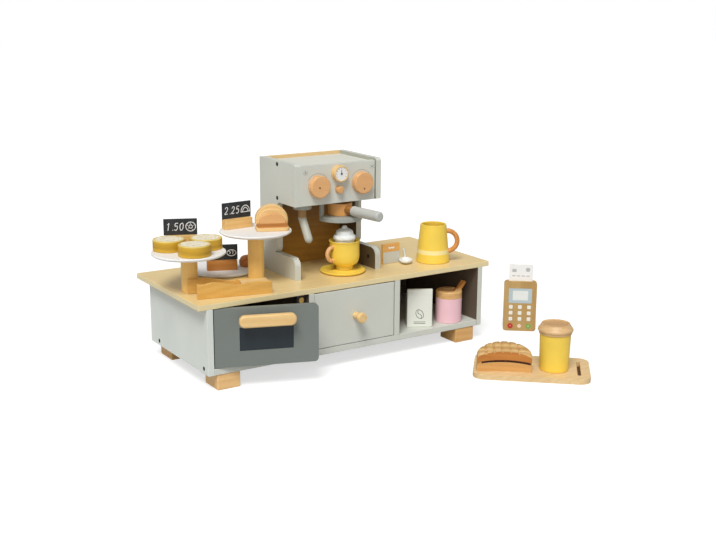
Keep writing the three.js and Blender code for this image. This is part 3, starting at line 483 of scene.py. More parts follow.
def tube(points, radius, steps=20, flat=(1, 1, 1)):
    """A round bar along the points, its ends rounded off. flat scales it along each axis."""
    path = [Vector(p) for p in points]
    first = (path[1] - path[0]).normalized()
    last = (path[-1] - path[-2]).normalized()
    caps = [(share, sqrt(1 - share**2) * 0.5) for share in (0.35, 0.7, 0.92)]
    stations = [(path[0] - first * radius * lift, first, share) for share, lift in caps]
    for point, before, after in zip(path, path[:1] + path, path[1:] + path[-1:]):
        stations.append((point, (after - before).normalized(), 1))
    stations += [(path[-1] + last * radius * lift, last, share) for share, lift in reversed(caps)]

    bm = bmesh.new()
    side = first.orthogonal().normalized()
    rings = []
    for centre, tangent, share in stations:
        side = (side - tangent * side.dot(tangent)).normalized()
        other = tangent.cross(side)
        ring = []
        for i in range(steps):
            angle = 2 * pi * i / steps
            point = centre + (side * cos(angle) + other * sin(angle)) * (radius * share)
            ring.append(bm.verts.new([c * f * MM for c, f in zip(point, flat)]))
        rings.append(ring)
    join_rings(bm, rings)
    bm.faces.new(list(reversed(rings[0])))
    bm.faces.new(rings[-1])
    return bm


def merged(*parts):
    """Several shapes in one mesh."""
    whole = bmesh.new()
    for part in parts:
        mesh = bpy.data.meshes.new("part")
        part.to_mesh(mesh)
        part.free()
        whole.from_mesh(mesh)
        bpy.data.meshes.remove(mesh)
    return whole


def shifted(bm, x=0, y=0, z=0):
    bmesh.ops.translate(bm, verts=bm.verts, vec=Vector((x, y, z)) * MM)
    return bm


def turned(bm, angle, axis="Z"):
    bmesh.ops.rotate(bm, verts=bm.verts, matrix=rotation(angle, axis, 3))
    return bm


# Pieces


def linked(name, data):
    """A new object in the scene."""
    obj = bpy.data.objects.new(name, data)
    bpy.context.scene.collection.objects.link(obj)
    return obj


def soften(obj, edge, segments=3):
    """Rounds the sharp edges by this many millimetres."""
    if edge:
        bevel = obj.modifiers.new("edges", "BEVEL")
        bevel.width = edge * MM
        bevel.segments = segments
        bevel.limit_method = "ANGLE"
        bevel.angle_limit = radians(38)


def piece(name, bm, finishes, place, node, edge=0, choose=None, slot=None, segments=3, stands=True):
    """Makes the object. It rides with the node's body and, where it stands for it, hides the node."""
    bmesh.ops.recalc_face_normals(bm, faces=bm.faces)
    mesh = bpy.data.meshes.new(name)
    bm.to_mesh(mesh)
    bm.free()
    for finish in finishes if isinstance(finishes, list) else [finishes]:
        mesh.materials.append(finish)
    for polygon in mesh.polygons:
        polygon.use_smooth = True
        if choose:
            polygon.material_index = choose(polygon.center / MM, polygon.normal)
    obj = linked(name, mesh)
    obj.matrix_world = place
    soften(obj, edge, segments)
    obj.modifiers.new("shading", "WEIGHTED_NORMAL").keep_sharp = True
    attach(obj, BODY_OF[node])
    slot or SLOT_OF[node]
    if stands:
        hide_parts(node)


def detail(*args, **options):
    """A piece that is added to the node's body and hides nothing."""
    piece(*args, stands=False, **options)


def panel(node, finishes, edge=0.7, choose=None):
    """A board that fills the node's box, with softened edges."""
    low, high = (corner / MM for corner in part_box(node))
    bm = cuboid(low.x, high.x, low.y, high.y, low.z, high.z)
    piece(f"{node}_board", bm, finishes, HOME, node, edge, choose)


def dress(node, finish, edge):
    """A solid that stays, with its finish and softened edges."""
    obj = frame["nodes"][node]
    obj.data.materials.clear()
    obj.data.materials.append(finish)
    obj.modifiers.new("joined", "WELD").merge_threshold = 0.00001
    soften(obj, edge)
    obj.modifiers.new("shading", "WEIGHTED_NORMAL")


def facing(x=0, y=0, least=0.5):
    """Picks the second finish for faces that look this way."""

    def choose(centre, normal):
        return int(normal.x * x + normal.y * y > least)

    return choose


def screw(name, place, node):
    """A countersunk screw head with a cross, its face along the place's Z."""
    head = lathe(rounded([(0, -0.4), (3.7, -0.4), (3.7, 0.15), (2.6, 0.35), (0, 0.35)], 0.3), 28)
    detail(name, head, SCREW, place, node)
    cross = merged(cuboid(-1.7, 1.7, -0.35, 0.35, 0.3, 0.42), cuboid(-0.35, 0.35, -1.7, 1.7, 0.3, 0.42))
    detail(f"{name}_cross", cross, BLACK, place, node)


# Counter

CASE_RIGHT = 285


def make_counter():
    panel("worktop", plywood("worktop_plywood"), 0.9)
    # The left side is painted a lighter grey than the front: painted light.
    panel("left_side_panel", paint("left_side_lightened_grey", (219, 224, 217)))
    panel("right_side_panel", [GREY, SHADE], choose=facing(x=-1))
    panel("bottom_panel", GREY)
    panel("back_panel", [GREY, SHADE], choose=facing(y=-1))
    panel("left_divider", [GREY, SHADE], choose=facing(x=-1))
    panel("right_divider", [GREY, SHADE], choose=facing(x=1))
    for i, corner in enumerate(("front_left", "front_right", "rear_left", "rear_right")):
        # The front-left foot gets a lighter copy of the foot wood: painted light.
        tones = ((246, 208, 146), (230, 180, 118)) if i == 0 else ((230, 186, 122), (210, 156, 92))
        panel(f"{corner}_foot", wood(f"foot_wood_{i}", *tones, "X", 11 + i), 1.6)
    for i, (y, z) in enumerate(((17, 37), (201, 36))):
        screw(f"case_screw_{i}", at(-CASE_RIGHT, y, z) @ LEFTWARD, "left_side_panel")
        screw(f"case_screw_right_{i}", at(CASE_RIGHT, y, z) @ RIGHTWARD, "right_side_panel")

    panel("door_catch", DARK, 0.8)
    detail("catch_disc", rod(5.2, 0, 0.6, 0.3, 0.3, 40), BRASS, at(-103, 9.9, 129) @ FORWARD, "door_catch")


def make_door():
    open_angle = 19
    pin = at(-267.5, 4.5, 0, -open_angle)
    left, right, low, high, corner = -3.5, 170.5, 39.5, 139.5, 7
    outline = (
        [(left, low)]
        + arc(right - corner, low + corner, corner, -90, 0, 8)
        + arc(right - corner, high - corner, corner, 0, 90, 8)
        + [(left, high)]
    )
    window = [(38, 66), (128, 66), (128, 106), (38, 106)]
    piece("grill_door_board", frame_slab(outline, window, -4.5, 4.5), DOOR_GREY, pin, "grill_door", 0.9)
    pins = [rod(2.5, start, start + 8, 0.4, 0.4, 24) for start in (34.3, 136.7)]
    detail("grill_door_pins", merged(*pins), DOOR_GREY, pin, "grill_door")
    pane = Finish("smoked_pane", 0.22, 0.5)
    haze = pane.noise(pane.coords(), 30, 3)
    dress("grill_window", pane.done(pane.mix(haze, (30, 40, 46), (40, 51, 57))), 0.3)
    bar = slab(round_box(35.5, 130.5, 110, 131, 9.5, 10), -24.5, -13.5, "XZ")
    piece("grill_handle_bar", bar, pale_wood("X", 1), pin, "grill_handle", 3.4, segments=5)
    for side in (-32, 32):
        post = lathe([(0, 0), (5, 0), (5, 10), (0, 10)], 32)
        place = moved(pin, 83 + side, -4.4, 120.5) @ FORWARD
        detail(f"grill_handle_post_{side + 32}", post, pale_wood("Z", 2), place, "grill_handle")


def make_drawer():
    panel("drawer_front", GREY, 1)
    dress("drawer_box", plywood("drawer_plywood", 4), 0.5)
    profile = [(0, 0), (6.8, 0), (5.9, 10.5, 3), (9.3, 17.3, 3), (9.3, 22, 2), (8.2, 24, 2), (0, 24)]
    knob = lathe(rounded(profile, 1, 6), 64)
    piece("drawer_knob_turned", knob, pale_wood("Z", 4), at(1, 0, 89.25) @ FORWARD, "drawer_knob")


# Espresso machine

MACHINE_LEFT = -87
MACHINE_RIGHT = 91
MACHINE_FRONT = 58
MACHINE_BACK = 185
MACHINE_TOP = 354
CHEEK = 11
HEAD = 280.5
DIAL_HEIGHT = 313.5
GAUGE_X = 0.6
# Knobs and the wand's disc start this far inside the panel that carries them.
SUNK = 0.3


def make_machine():
    side = (
        [(MACHINE_BACK, TOP), (MACHINE_BACK, MACHINE_TOP)]
        + arc(MACHINE_FRONT + 5, MACHINE_TOP - 5, 5, 90, 180, 10)
        + [(MACHINE_FRONT, HEAD)]
        + arc(114, 272.5, 8, 90, 0, 8)
        + arc(132, 199, 10, 180, 270, 8)
        + arc(72, 175, 14, 90, 180, 10)
        + [(MACHINE_FRONT, TOP)]
    )
    shift = ORIGIN / MM
    outline = [(y + shift.y, z) for y, z in side]
    for name, left, inward in (("left", MACHINE_LEFT, 1), ("right", MACHINE_RIGHT - CHEEK, -1)):
        bm = slab(outline, left + shift.x, left + CHEEK + shift.x, "YZ")
        node = f"machine_{name}_side"
        piece(f"machine_{name}_cheek", bm, [GREY, CHEEK_SHADE], HOME, node, 1.3, facing(x=inward))

    # Painted shade: the back veneer has a dark golden tone and darkens to near-black under the head; above
    # the head floor it turns to the wood's own pale tone.
    painted_shade = ((64, 44, 18), 0.19, 0.285, 0.29, (232, 204, 152))
    veneer = wood("machine_back_veneer", (206, 152, 62), (182, 126, 44), "X", 3, painted_shade=painted_shade)
    edge = wood("machine_back_edge", (240, 212, 160), (226, 192, 134), "X", 4)
    rear = wood("machine_back_rear", (214, 160, 76), (194, 136, 56), "X", 5)

    def back_finish(centre, normal):
        if normal.z > 0.5:
            return 1
        return 2 if normal.y > 0.5 else 0

    panel("machine_back", [veneer, edge, rear], choose=back_finish)
    for node in ("machine_front", "machine_head_floor"):
        panel(node, GREY)
    # The top shelf is painted a lighter grey than the sides and front: painted light on the top face.
    panel("machine_top_shelf", paint("machine_top_lightened_grey", (222, 222, 210)))
    for i, (y, z) in enumerate(((120, 348), (121, 288))):
        screw(f"machine_screw_{i}", at(MACHINE_LEFT, y, z) @ LEFTWARD, "machine_left_side")
        screw(f"machine_screw_right_{i}", at(MACHINE_RIGHT, y, z) @ RIGHTWARD, "machine_right_side")
    screw("toe_screw_left", at(MACHINE_LEFT + CHEEK, 81, 170) @ RIGHTWARD, "machine_left_side")
    screw("toe_screw_right", at(MACHINE_RIGHT - CHEEK, 81, 170) @ LEFTWARD, "machine_right_side")


def make_dials():
    for name, x, reach, turn, seed in (("left", -41.1, 3.2, 198, 1), ("right", 48.1, 10, 268, 2)):
        node = f"{name}_dial"
        place = at(x, MACHINE_FRONT - SUNK, DIAL_HEIGHT) @ FORWARD
        finish = wood(f"dial_wood_{name}", (234, 184, 128), (222, 166, 108), "X", seed, 0.3)
        piece(f"{name}_dial_turned", rod(19.5, 0, 12, 0.6, 2.6, 96, 6), finish, place, node)
        # A dark wood disc stands in for the shade in the dial's dimple: painted shade.
        dot = lathe([(0, 0), (1.7, 0), (1.7, 0.1), (1.2, 0.12), (0, 0.02)], 24)
        angle = radians(turn)
        spot = moved(place, reach * cos(angle), reach * sin(angle), 11.98)
        dark = wood("dimple_wood", (140, 88, 44), (110, 66, 32), "X", 1)
        detail(f"{name}_dial_dimple", dot, dark, spot, node)
        mark_arc(f"{name}_dial_scale", x)

    corner_mark("steam_mark", -65.5, 338.5, 8)
    corner_mark("water_mark", 71.5, 340, 6)
    gauge = (at(GAUGE_X, MACHINE_FRONT, 333.5) @ FORWARD, "pressure_gauge")
    rim = [(0, 0), (14.5, 0, 0.5), (14.5, 12, 1.4), (12, 12, 0.5), (12, 11, 0.1), (0, 11)]
    piece("pressure_gauge_rim", lathe(rounded(rim, 0.5, 5), 96), pale_wood("X", 6), *gauge)
    face = lathe([(0, 11.05), (11.8, 11.05), (11.8, 11.2), (0, 11.2)], 80)
    detail("gauge_face", face, WHITE, *gauge, slot="white_paint")
    marks = [turned(cuboid(-0.25, 0.25, 8.6, 10.6, 11.2, 11.3), -120 + 30 * i) for i in range(9)]
    detail("gauge_marks", merged(*marks), BLACK, *gauge, slot="dark_paint")
    needle = slab([(-0.9, -1.5), (0.9, -1.5), (0.3, 7.6), (-0.3, 7.6)], 11.3, 11.6)
    hub = rod(1.9, 11.2, 12, 0.3, 0.3, 32)
    detail("gauge_needle", merged(needle, hub), BLACK, *gauge, slot="dark_paint")

    knob = rod(6.6, 0, 10, 0.5, 2.4, 64, 6)
    place = at(GAUGE_X, MACHINE_FRONT - SUNK, 304.8) @ FORWARD
    piece("small_knob_turned", knob, warm_wood("X", 5), place, "small_knob")


def front_print(name, bm, colour, x, z):
    """A thin print on the front panel of the machine."""
    place = at(x, MACHINE_FRONT, z) @ FORWARD
    detail(name, bm, paint(f"{name}_grey", colour, 0.6), place, "machine_front", slot="dark_paint")


def corner_mark(name, x, z, petals):
    """A ring of short strokes round a dot."""
    strokes = [turned(cuboid(-0.4, 0.4, 2.8, 4.8, 0.02, 0.08), 360 * i / petals) for i in range(petals)]
    dot = slab(arc(0, 0, 1.5, 0, 360, 20)[:-1], 0.02, 0.08)
    front_print(name, merged(dot, *strokes), (132, 136, 130), x, z)


def mark_arc(name, x):
    """A thin arc over a dial."""
    inner = arc(0, 0, 22.4, 28, 152, 40)
    outer = arc(0, 0, 22.8, 152, 28, 40)
    front_print(name, slab(inner + outer, 0.02, 0.08), (118, 122, 118), x, DIAL_HEIGHT)


def make_wand():
    place = at(-57, 85, HEAD - SUNK)
    piece("steam_wand_disc", rod(16.5, -9, 0, 1.6, 0.6, 72), SHADED_HOLDER_GREY, place, "steam_wand")
    stem = rod(7, -26.5, -8.8, 1.5, 0.5, 48)
    # The wand's stem has a darkened wood under the head: painted shade.
    shaded_stem_wood = wood("shaded_stem_wood", (176, 140, 92), (150, 112, 66), "Z", 2)
    detail("steam_wand_stem", stem, shaded_stem_wood, place, "steam_wand", slot="beech")
    radius = 7.2
    tip = [(radius * sin(a), -39.8 - radius * cos(a)) for a in map(radians, range(0, 90, 10))]
    body = tip + [(radius, -37)] + rounded([(radius, -35), (radius, 4), (0, 4)], 2)
    wand = moved(place, z=-26, turn=-33, axis="X")
    detail("steam_wand_tip", lathe(body, 64), SHADED_WAND_GREY, wand, "steam_wand")


def make_filter():
    place = at(21, 85, HEAD)
    holder = (place, "filter_holder")
    outline = arc(0, 0, 40, 180, 360, 48) + [(40, 6), (-40, 6)]
    piece("filter_holder_plate", slab(outline, -35.5, -26.5), SHADED_HOLDER_GREY, *holder, 1)
    arms = [cuboid(left, left + 7, 0.05, 5.95, -26.6, -0.05) for left in (-40, 33)]
    detail("filter_holder_arms", merged(*arms), SHADED_HOLDER_GREY, *holder, 0.6)

    turning = moved(place, turn=7.5)
    cup = [(0, -26.2), (22, -26.2, 1.2), (22, -4.5, 1), (16.5, -4.5, 0.8), (16.5, -15.3, 1), (0, -15.3)]
    cup_wood = wood("filter_wood", (234, 178, 108), (216, 150, 80), "Z", 7)
    piece("portafilter_cup", lathe(rounded(cup, 0.6), 96), cup_wood, turning, "portafilter")
    neck = rod(7.5, 20, 37.5, 0.5, 0.8, 48)
    front = moved(turning, z=-15.35) @ FORWARD
    umber = wood("umber_wood", (176, 124, 66), (150, 98, 46), "Z", 8)
    detail("portafilter_neck", neck, umber, front, "portafilter")
    grip = [(0, 37), (9, 37, 2.8), (9, 70, 30), (9, 109, 3.8), (0, 109)]
    piece("portafilter_grip", lathe(rounded(grip, 2.5, 6), 72), GRIP_GREY, front, "portafilter_handle")


# Cup, cream and jug


def half_ring(radius, bar, lift, out, start=-100, end=100, steps=28):
    """A handle bent in the XZ plane, its middle at (out, 0, lift)."""
    return tube([(x, 0, z) for x, z in arc(out, lift, radius, start, end, steps)], bar, 24)


def make_cup():
    place = at(20.2, 73.7, TOP)
    saucer = [(0, 0), (37, 0, 2), (41, 3.2, 2), (40.6, 6, 1)]
    saucer += [(37, 5.4, 2), (30, 4.6, 3), (20, 5.9, 1), (0, 6)]
    piece("saucer_turned", lathe(rounded(saucer, 1, 5), 112), YELLOW, place, "saucer")

    cup = moved(place, 2.6, -1.7, 6)
    belly = [(15.6, 0.5), (15.4, 3.4), (15, 6), (18, 8.2), (23, 11.6), (26, 17.5), (27.1, 26)]
    outer = smooth_curve(belly + [(26.8, 38), (26.7, 46)], 5)
    lip = smooth_curve([(27.1, 50), (28, 51.6), (28, 52.6), (26.9, 53), (25.4, 52.2)], 3)
    hollow = [(24.8, 49), (24.4, 42), (21.6, 40.6), (21.2, 28), (17, 16), (9, 10.6), (0, 10)]
    profile = [(0, 0), (14.8, 0)] + outer + lip + smooth_curve(hollow, 4)
    piece("coffee_cup_turned", lathe([(max(r, 0), z) for r, z in profile], 96), YELLOW, cup, "coffee_cup")
    handle = half_ring(12.3, 3.6, 30.7, 27.3)
    handle_wood = wood("cup_handle_wood", (238, 190, 134), (216, 160, 104), "Z", 3)
    detail("coffee_cup_handle", handle, handle_wood, moved(cup, turn=187), "coffee_cup", slot="pale_beech")

    def swirl(angle, height):
        tier = 1 if height < 64 else 0.6
        return 1 + 0.012 * tier * cos(7 * angle + height * 0.35)

    tiers = [
        (0, 41.1), (20, 41.1), (22.6, 42.2), (20, 44), (17.6, 47), (17.6, 53), (19.6, 55), (20.2, 58),
        (19.2, 61.5), (16.2, 63.4), (15.6, 66), (14.4, 70), (9.4, 73.2), (5.6, 74.8), (4.6, 77),
        (3, 79.2), (0, 79.9),
    ]
    cream = [(max(r, 0), z) for r, z in smooth_curve(tiers, 4)]
    piece("whipped_cream_swirl", lathe(cream, 112, swirl), CREAM, cup, "whipped_cream")


def make_jug():
    place = at(210, 57, TOP)
    rim = rounded([(24.4, 70.2), (24.2, 71.5, 1.2), (20.8, 71.5, 1.2), (20.7, 68)], 1)
    profile = [(0, 0), (30.4, 0)] + spread([(31.4, 1), (24.4, 70.4)], 2) + rim
    profile += [(27.4, 4.2), (26.4, 3.6), (0, 3.6)]

    def band_outside(centre, normal):
        outward = normal.x * centre.x + normal.y * centre.y > 0
        return int(outward and 16 < centre.z < 25)

    finishes = [YELLOW, paint("band_white", (248, 230, 160), 0.42)]
    piece("milk_jug_turned", lathe(profile, 112), finishes, place, "milk_jug", choose=band_outside)
    handle = half_ring(19.3, 4.6, 39, 26.1, -84, 93, 36)
    ring_wood = wood("jug_ring_wood", (222, 158, 88), (196, 128, 60), "Z", 5)
    detail("milk_jug_handle", handle, ring_wood, moved(place, turn=-33), "milk_jug", slot="beech")


# Tea packet and teaspoon


def make_tea_packet():
    place = at(131.8, 84, TOP)
    body = cuboid(-18.8, 18.8, -3, 3, 0, 38)
    tile_wood = wood("tea_packet_wood", *BEECH, "X", 9)
    piece("tea_packet_block", body, tile_wood, place, "tea_packet", 0.8)
    label = cuboid(-18.2, 18.2, -3.12, -2.9, 0.6, 22.5)
    detail("tea_packet_label", label, PALE_GREY, place, "tea_packet", slot="pale_paint")
    leaves = []
    for i in range(3):
        leaf = slab(round_box(-2.6, 2.6, -1.4, 1.4, 1.3, 5), 0, 0.2)
        leaves.append(shifted(turned(leaf, 35 * i - 35), (i - 1) * 4.2))
    face = moved(place, 0, -3, 30) @ FORWARD
    detail("tea_packet_print", merged(*leaves), WHITE, face, "tea_packet", slot="white_paint")


def make_teaspoon():
    rows, columns = 14, 40
    rim_height = 7.5
    bm = bmesh.new()
    rims = []
    for long_half, wide_half, deep in ((19, 12, 7.5), (17.2, 10.2, 5.6)):
        rings = []
        for row in range(rows + 1):
            lean = row / rows * pi / 2
            reach = sin(lean)
            ring = []
            for column in range(columns if row else 1):
                angle = 2 * pi * column / columns
                wide = wide_half * (1 - 0.12 * cos(angle))
                point = (
                    long_half * reach * cos(angle), wide * reach * sin(angle),
                    rim_height - deep * cos(lean),
                )
                ring.append(bm.verts.new(Vector(point) * MM))
            rings.append(ring)
        join_rings(bm, rings)
        rims.append(rings[-1])
    join_rings(bm, rims)
    path = [(17.6, 0, 6.3), (22, 0, 5.9), (40, 0, 5.8), (70, 0, 6), (93.6, 0, 6.2)]
    stem = tube(smooth_curve(path, 6), 1.8, 16)
    piece("teaspoon_shape", merged(bm, stem), CREAM, at(156, 69, TOP, 57), "teaspoon")


# Stands and what is on them

PLATE_RADIUS = 62.5
PLATE_HIGH = 6
PLATE = [(0, 0), (58, 0, 2), (PLATE_RADIUS, 3, 2.5), (62.2, PLATE_HIGH, 1.2), (0, PLATE_HIGH)]
CAKE_RADIUS = 27.2
CAKE_HIGH = 19.5
ROLL_LONG, ROLL_DEEP, ROLL_HIGH = 57.5, 35, 43


def on_plate(top, x, y, unit=PLATE_RADIUS, turn=0):
    """A place on a plate, given in shares of a length."""
    return moved(top, x * unit, y * unit, turn=turn)


def plate_at(name, node, place, z):
    bm = lathe([(r, h + z) for r, h in rounded(PLATE, 1, 6)], 128)
    piece(name, bm, WHITE, place, node, slot="white_paint")


def make_stand(node, x, y, height, seed):
    """A plate on a column. It gives back the place in the middle of the plate."""
    place = at(x, y, TOP)
    under = height - PLATE_HIGH
    plate_at(f"{node}_plate", node, place, under)
    # The columns' wood is lighter than the beech to make up for the plates' shadow on them: painted light.
    tone = wood(f"lightened_column_wood_{seed:g}", (255, 218, 134), (246, 194, 108), "Z", seed)
    detail(f"{node}_column", rod(14, 0, under, 0.8, 0.3, 80), tone, place, node, slot="beech")
    return moved(place, z=height)


DIGITS = {
    "0": [(0.5, 1), (0.15, 0.8), (0.1, 0.4), (0.35, 0.02), (0.7, 0.1), (0.85, 0.5), (0.75, 0.88), (0.5, 1)],
    "1": [(0.25, 0.78), (0.55, 1), (0.5, 0.5), (0.48, 0)],
    "2": [(0.12, 0.78), (0.4, 1), (0.75, 0.84), (0.6, 0.45), (0.1, 0.04), (0.85, 0.06)],
    "5": [(0.78, 0.98), (0.25, 0.96), (0.2, 0.58), (0.6, 0.62), (0.78, 0.3), (0.5, 0), (0.12, 0.1)],
    "7": [(0.1, 0.92), (0.82, 0.98), (0.5, 0.5), (0.32, 0)],
    ".": [(0.3, 0), (0.38, 0.05)],
}


def chalk_strokes(lines):
    """Chalk lines as flat ribbons in the XZ plane."""
    parts = []
    for line in lines:
        path = smooth_curve(line, 5) if len(line) > 2 else line
        parts.append(tube([(x, 0, z) for x, z in path], 0.65, 8, (1, 0.22, 1)))
    return merged(*parts)


def price(text, x, z, size):
    """The lines of a price, from its left lower corner."""
    narrow, slant, advance, dot_advance = 0.6, 0.12, 0.72, 0.35
    lines = []
    for letter in text:
        stroke = DIGITS[letter]
        lines.append([(x + px * size * narrow + pz * size * slant, z + pz * size) for px, pz in stroke])
        x += size * (dot_advance if letter == "." else advance)
    return lines


def make_sign(number, place, text, drawing, tone):
    node = f"price_sign_{number}"
    groove = 17.5
    block = cuboid(-27, 27, -9.5, 4.5, 0, groove)
    piece(f"price_block_{number}", block, tone, place, node, 0.9, slot="beech")
    card = cuboid(-28.5, 28.5, -1, 1, groove - 0.1, 45.5)
    detail(f"price_card_{number}", card, BOARD, place, node, 0.25)
    strokes = chalk_strokes(price(text, -24.5, 25.5, 12.5) + drawing)
    detail(f"price_chalk_{number}", strokes, CHALK, moved(place, y=-1.05), node, slot="white_paint")


def make_cake(number, place, seed):
    icing_low, icing_top = 17.5, 18.5

    def lumpy(angle, height):
        if height < icing_low:
            return 1
        lump = noise.noise(Vector((cos(angle) * 3 + seed, sin(angle) * 3, height * 0.4)))
        return 1 + 0.012 * lump

    wall = [(0, 0), (CAKE_RADIUS, 0, 1.4), (CAKE_RADIUS, 18.8, 1.8), (24.6, CAKE_HIGH), (24, CAKE_HIGH)]
    side = rounded(wall, 0.8, 5) + [(r, CAKE_HIGH - 0.1) for r in (22, 19, 16, 13, 10, 7, 4, 2, 0)]
    bm = lathe(side, 96, lumpy)
    for vertex in bm.verts:
        point = vertex.co / MM
        if point.z > icing_top and hypot(point.x, point.y) < 25:
            rough = noise.noise(Vector((point.x * 0.32 + seed, point.y * 0.32, seed)))
            vertex.co.z += (rough * 0.5 - 0.4) * MM
    finishes = [
        stained(f"cake_side_{seed:g}", (224, 178, 54), (180, 136, 32), seed),
        icing("cake_icing", (200, 170, 98), (232, 225, 203)),
        stained(f"cake_rim_{seed:g}", (236, 212, 128), (214, 182, 86), seed),
    ]

    def layer(centre, normal):
        if centre.z > icing_top + 0.1 and normal.z > 0.5 and hypot(centre.x, centre.y) < 23:
            return 1
        return 2 if centre.z > icing_low + 0.1 else 0

    piece(f"cake_{number}_turned", bm, finishes, place, f"cake_{number}", choose=layer)


def make_roll(place):
    roll = (place, "bread_roll")
    base = slab(round_box(0, ROLL_LONG, 0, ROLL_DEEP, 9, 10), 0, 6)
    piece("bread_roll_base", base, pale_wood("X", 21), *roll, 1.2)
    core = cuboid(3.2, 54.3, 6.4, 31.8, 5.5, 13)
    toasted = wood("toasted", (198, 136, 70), (164, 102, 44), "X", 3)
    detail("bread_roll_slit", core, toasted, *roll, 0.2)
    foot = 9.8
    layers = (
        (0.78, 0.70, 0.2, 0.42, warm_wood("X", 4)),
        (0.90, 0.87, 0.38, 0.6, pale_wood("X", 22)),
        (0.98, 1, 0.56, 0.98, pale_wood("X", 23)),
    )
    for i, (wide, high, front, back, tone) in enumerate(layers):
        half = ROLL_LONG * wide / 2
        rise = ROLL_HIGH * high - foot
        shoulder = rise * 0.2
        crown = loop(0, shoulder, half, rise - shoulder, 36, 0, 180)
        outline = [(ROLL_LONG / 2 + x, foot + z) for x, z in [(half, 0)] + crown + [(-half, 0)]]
        bm = slab(outline, ROLL_DEEP * front, ROLL_DEEP * back, "XZ")
        detail(f"bread_roll_layer_{i}", bm, tone, *roll, 1.3)


def make_stands():
    block_wood = ((238, 198, 132), (222, 172, 100))
    low = make_stand("low_cake_stand", -270.8, 95, 68.5, 31)
    for i, (x, y) in enumerate(((-0.868, 0.967), (-0.151, -1.195), (1.287, 0.221))):
        make_cake(i + 1, on_plate(low, x, y, CAKE_RADIUS), 2 + 3 * i)
    x, z = 17.5, 31.5
    cake = [loop(x, z, 8.2, 7.8), loop(x, z, 3, 2.8)]
    for a in (0.4, 1.6, 2.7, 3.9, 5.2):
        across, up = cos(a), sin(a)
        cake.append([(x + 5.5 * across, z + 5.3 * up), (x + 6.2 * across, z + 6 * up)])
    place = on_plate(low, 0.353, 1.941, CAKE_RADIUS, -23)
    make_sign(1, place, "1.50", cake, wood("block_wood_1", *block_wood, "X", 41))

    tall = make_stand("tall_cake_stand", -145.1, 94, 92, 32)
    roll = [loop(x, 27, 8.6, 11, 12, 0, 180), [(8.6, 26.6), (26.6, 26.8)], loop(x, 27, 5.4, 7, 10, 0, 180)]
    place = on_plate(tall, -0.325, 0.504, turn=4)
    make_sign(2, place, "2.25", roll, wood("block_wood_2", *block_wood, "X", 42))
    make_roll(on_plate(tall, -0.142, -0.341, turn=-21))

    place = at(-160, 195, TOP)
    plate_at("serving_plate_turned", "serving_plate", place, 0)
    top = moved(place, z=PLATE_HIGH)
    bun = [loop(x, 30, 8, 5.5), [(13, 33), (15.5, 31), (14.5, 28.5)], [(18, 34), (20.5, 31.5), (19.5, 28)]]
    shaded_block = wood("shaded_block", (206, 142, 70), (178, 112, 48), "X", 43)
    make_sign(3, on_plate(top, -0.132, -0.216, turn=-21), "0.75", bun, shaded_block)
    profile = [(0, 0), (12.6, 0, 1.5), (15, 4.5, 4), (15, 10.5, 4), (11.5, 17.5, 6), (5, 20, 5), (0, 20)]
    pastry_wood = wood("pastry_wood", (196, 128, 66), (168, 98, 42), "X", 24)
    pastry = lathe(rounded(profile, 3, 5), 72)
    piece("pastry_turned", pastry, pastry_wood, on_plate(top, 0.69, -0.211), "pastry")


# Tongs


def make_tongs():
    tongs = (at(-159, 25.7, TOP), "tongs")
    long, high, thick, apart = 128, 20.5, 6, 16
    shares = ((0, 1), (0.3, 1.03), (0.46, 0.93), (0.62, 1.12), (0.78, 1.3), (0.9, 1.2), (1, 1.24))
    wave = smooth_curve([(-long * along, high * up) for along, up in shares], 8)
    outline = [(-long, 0), (0, 0)] + wave
    front = shifted(turned(slab(outline, 0, thick, "XZ"), -11.3), y=-apart)
    rear = shifted(turned(slab(outline, -thick, 0, "XZ"), -18.3), y=apart)
    arm = wood("tongs_wood", (230, 184, 98), (212, 158, 76), "X", 51)
    piece("tongs_front_arm", front, arm, *tongs, 0.9)
    detail("tongs_rear_arm", rear, arm, *tongs, 0.9)
    spacer = turned(cuboid(-47.5, -0.4, -12.9, 12.9, 0.1, 20.3), -14.8)
    detail("tongs_spacer", spacer, pale_wood("X", 53), *tongs, 0.5)


# Things on the shelf


def make_bag():
    place = at(160.1, 30, BAY_FLOOR, -28.7)
    outline = [(-14, 0), (14, 0), (14, 52), (-8, 72.5), (-14, 72.5)]
    bag_white = paint("bag_paint", (229, 231, 219), 0.5)
    piece("coffee_bag_block", slab(outline, -23.5, 23.5, "YZ"), bag_white, place, "coffee_bag", 1.4)
    face = (moved(place, y=-14) @ FORWARD, "coffee_bag")
    rim = loop(0, 0, 6.4, 9.2, 40)
    crease = smooth_curve([(-1.2, -8.6), (1.8, -3), (-1.8, 3), (1.2, 8.6)], 6)
    bean = [tube([(x, y, 0) for x, y in line], 0.55, 8, (1, 1, 0.2)) for line in (rim, crease)]
    stripes = [cuboid(-11, 11, z, z + 1, -0.02, 0.1) for z in (6.5, 9.5)]
    motif = merged(shifted(turned(merged(*bean), 28), z=0.05, y=25), *stripes)
    detail("coffee_bag_print", motif, paint("bag_print", (92, 94, 90), 0.6), *face, slot="dark_paint")
    creases = merged(cuboid(-22.6, 22.6, 61.6, 61.9, 0, 0.08), cuboid(17.4, 17.6, 2, 61, 0, 0.08))
    detail("coffee_bag_crease", creases, paint("bag_crease", (204, 205, 196), 0.6), *face, slot="bag_paint")


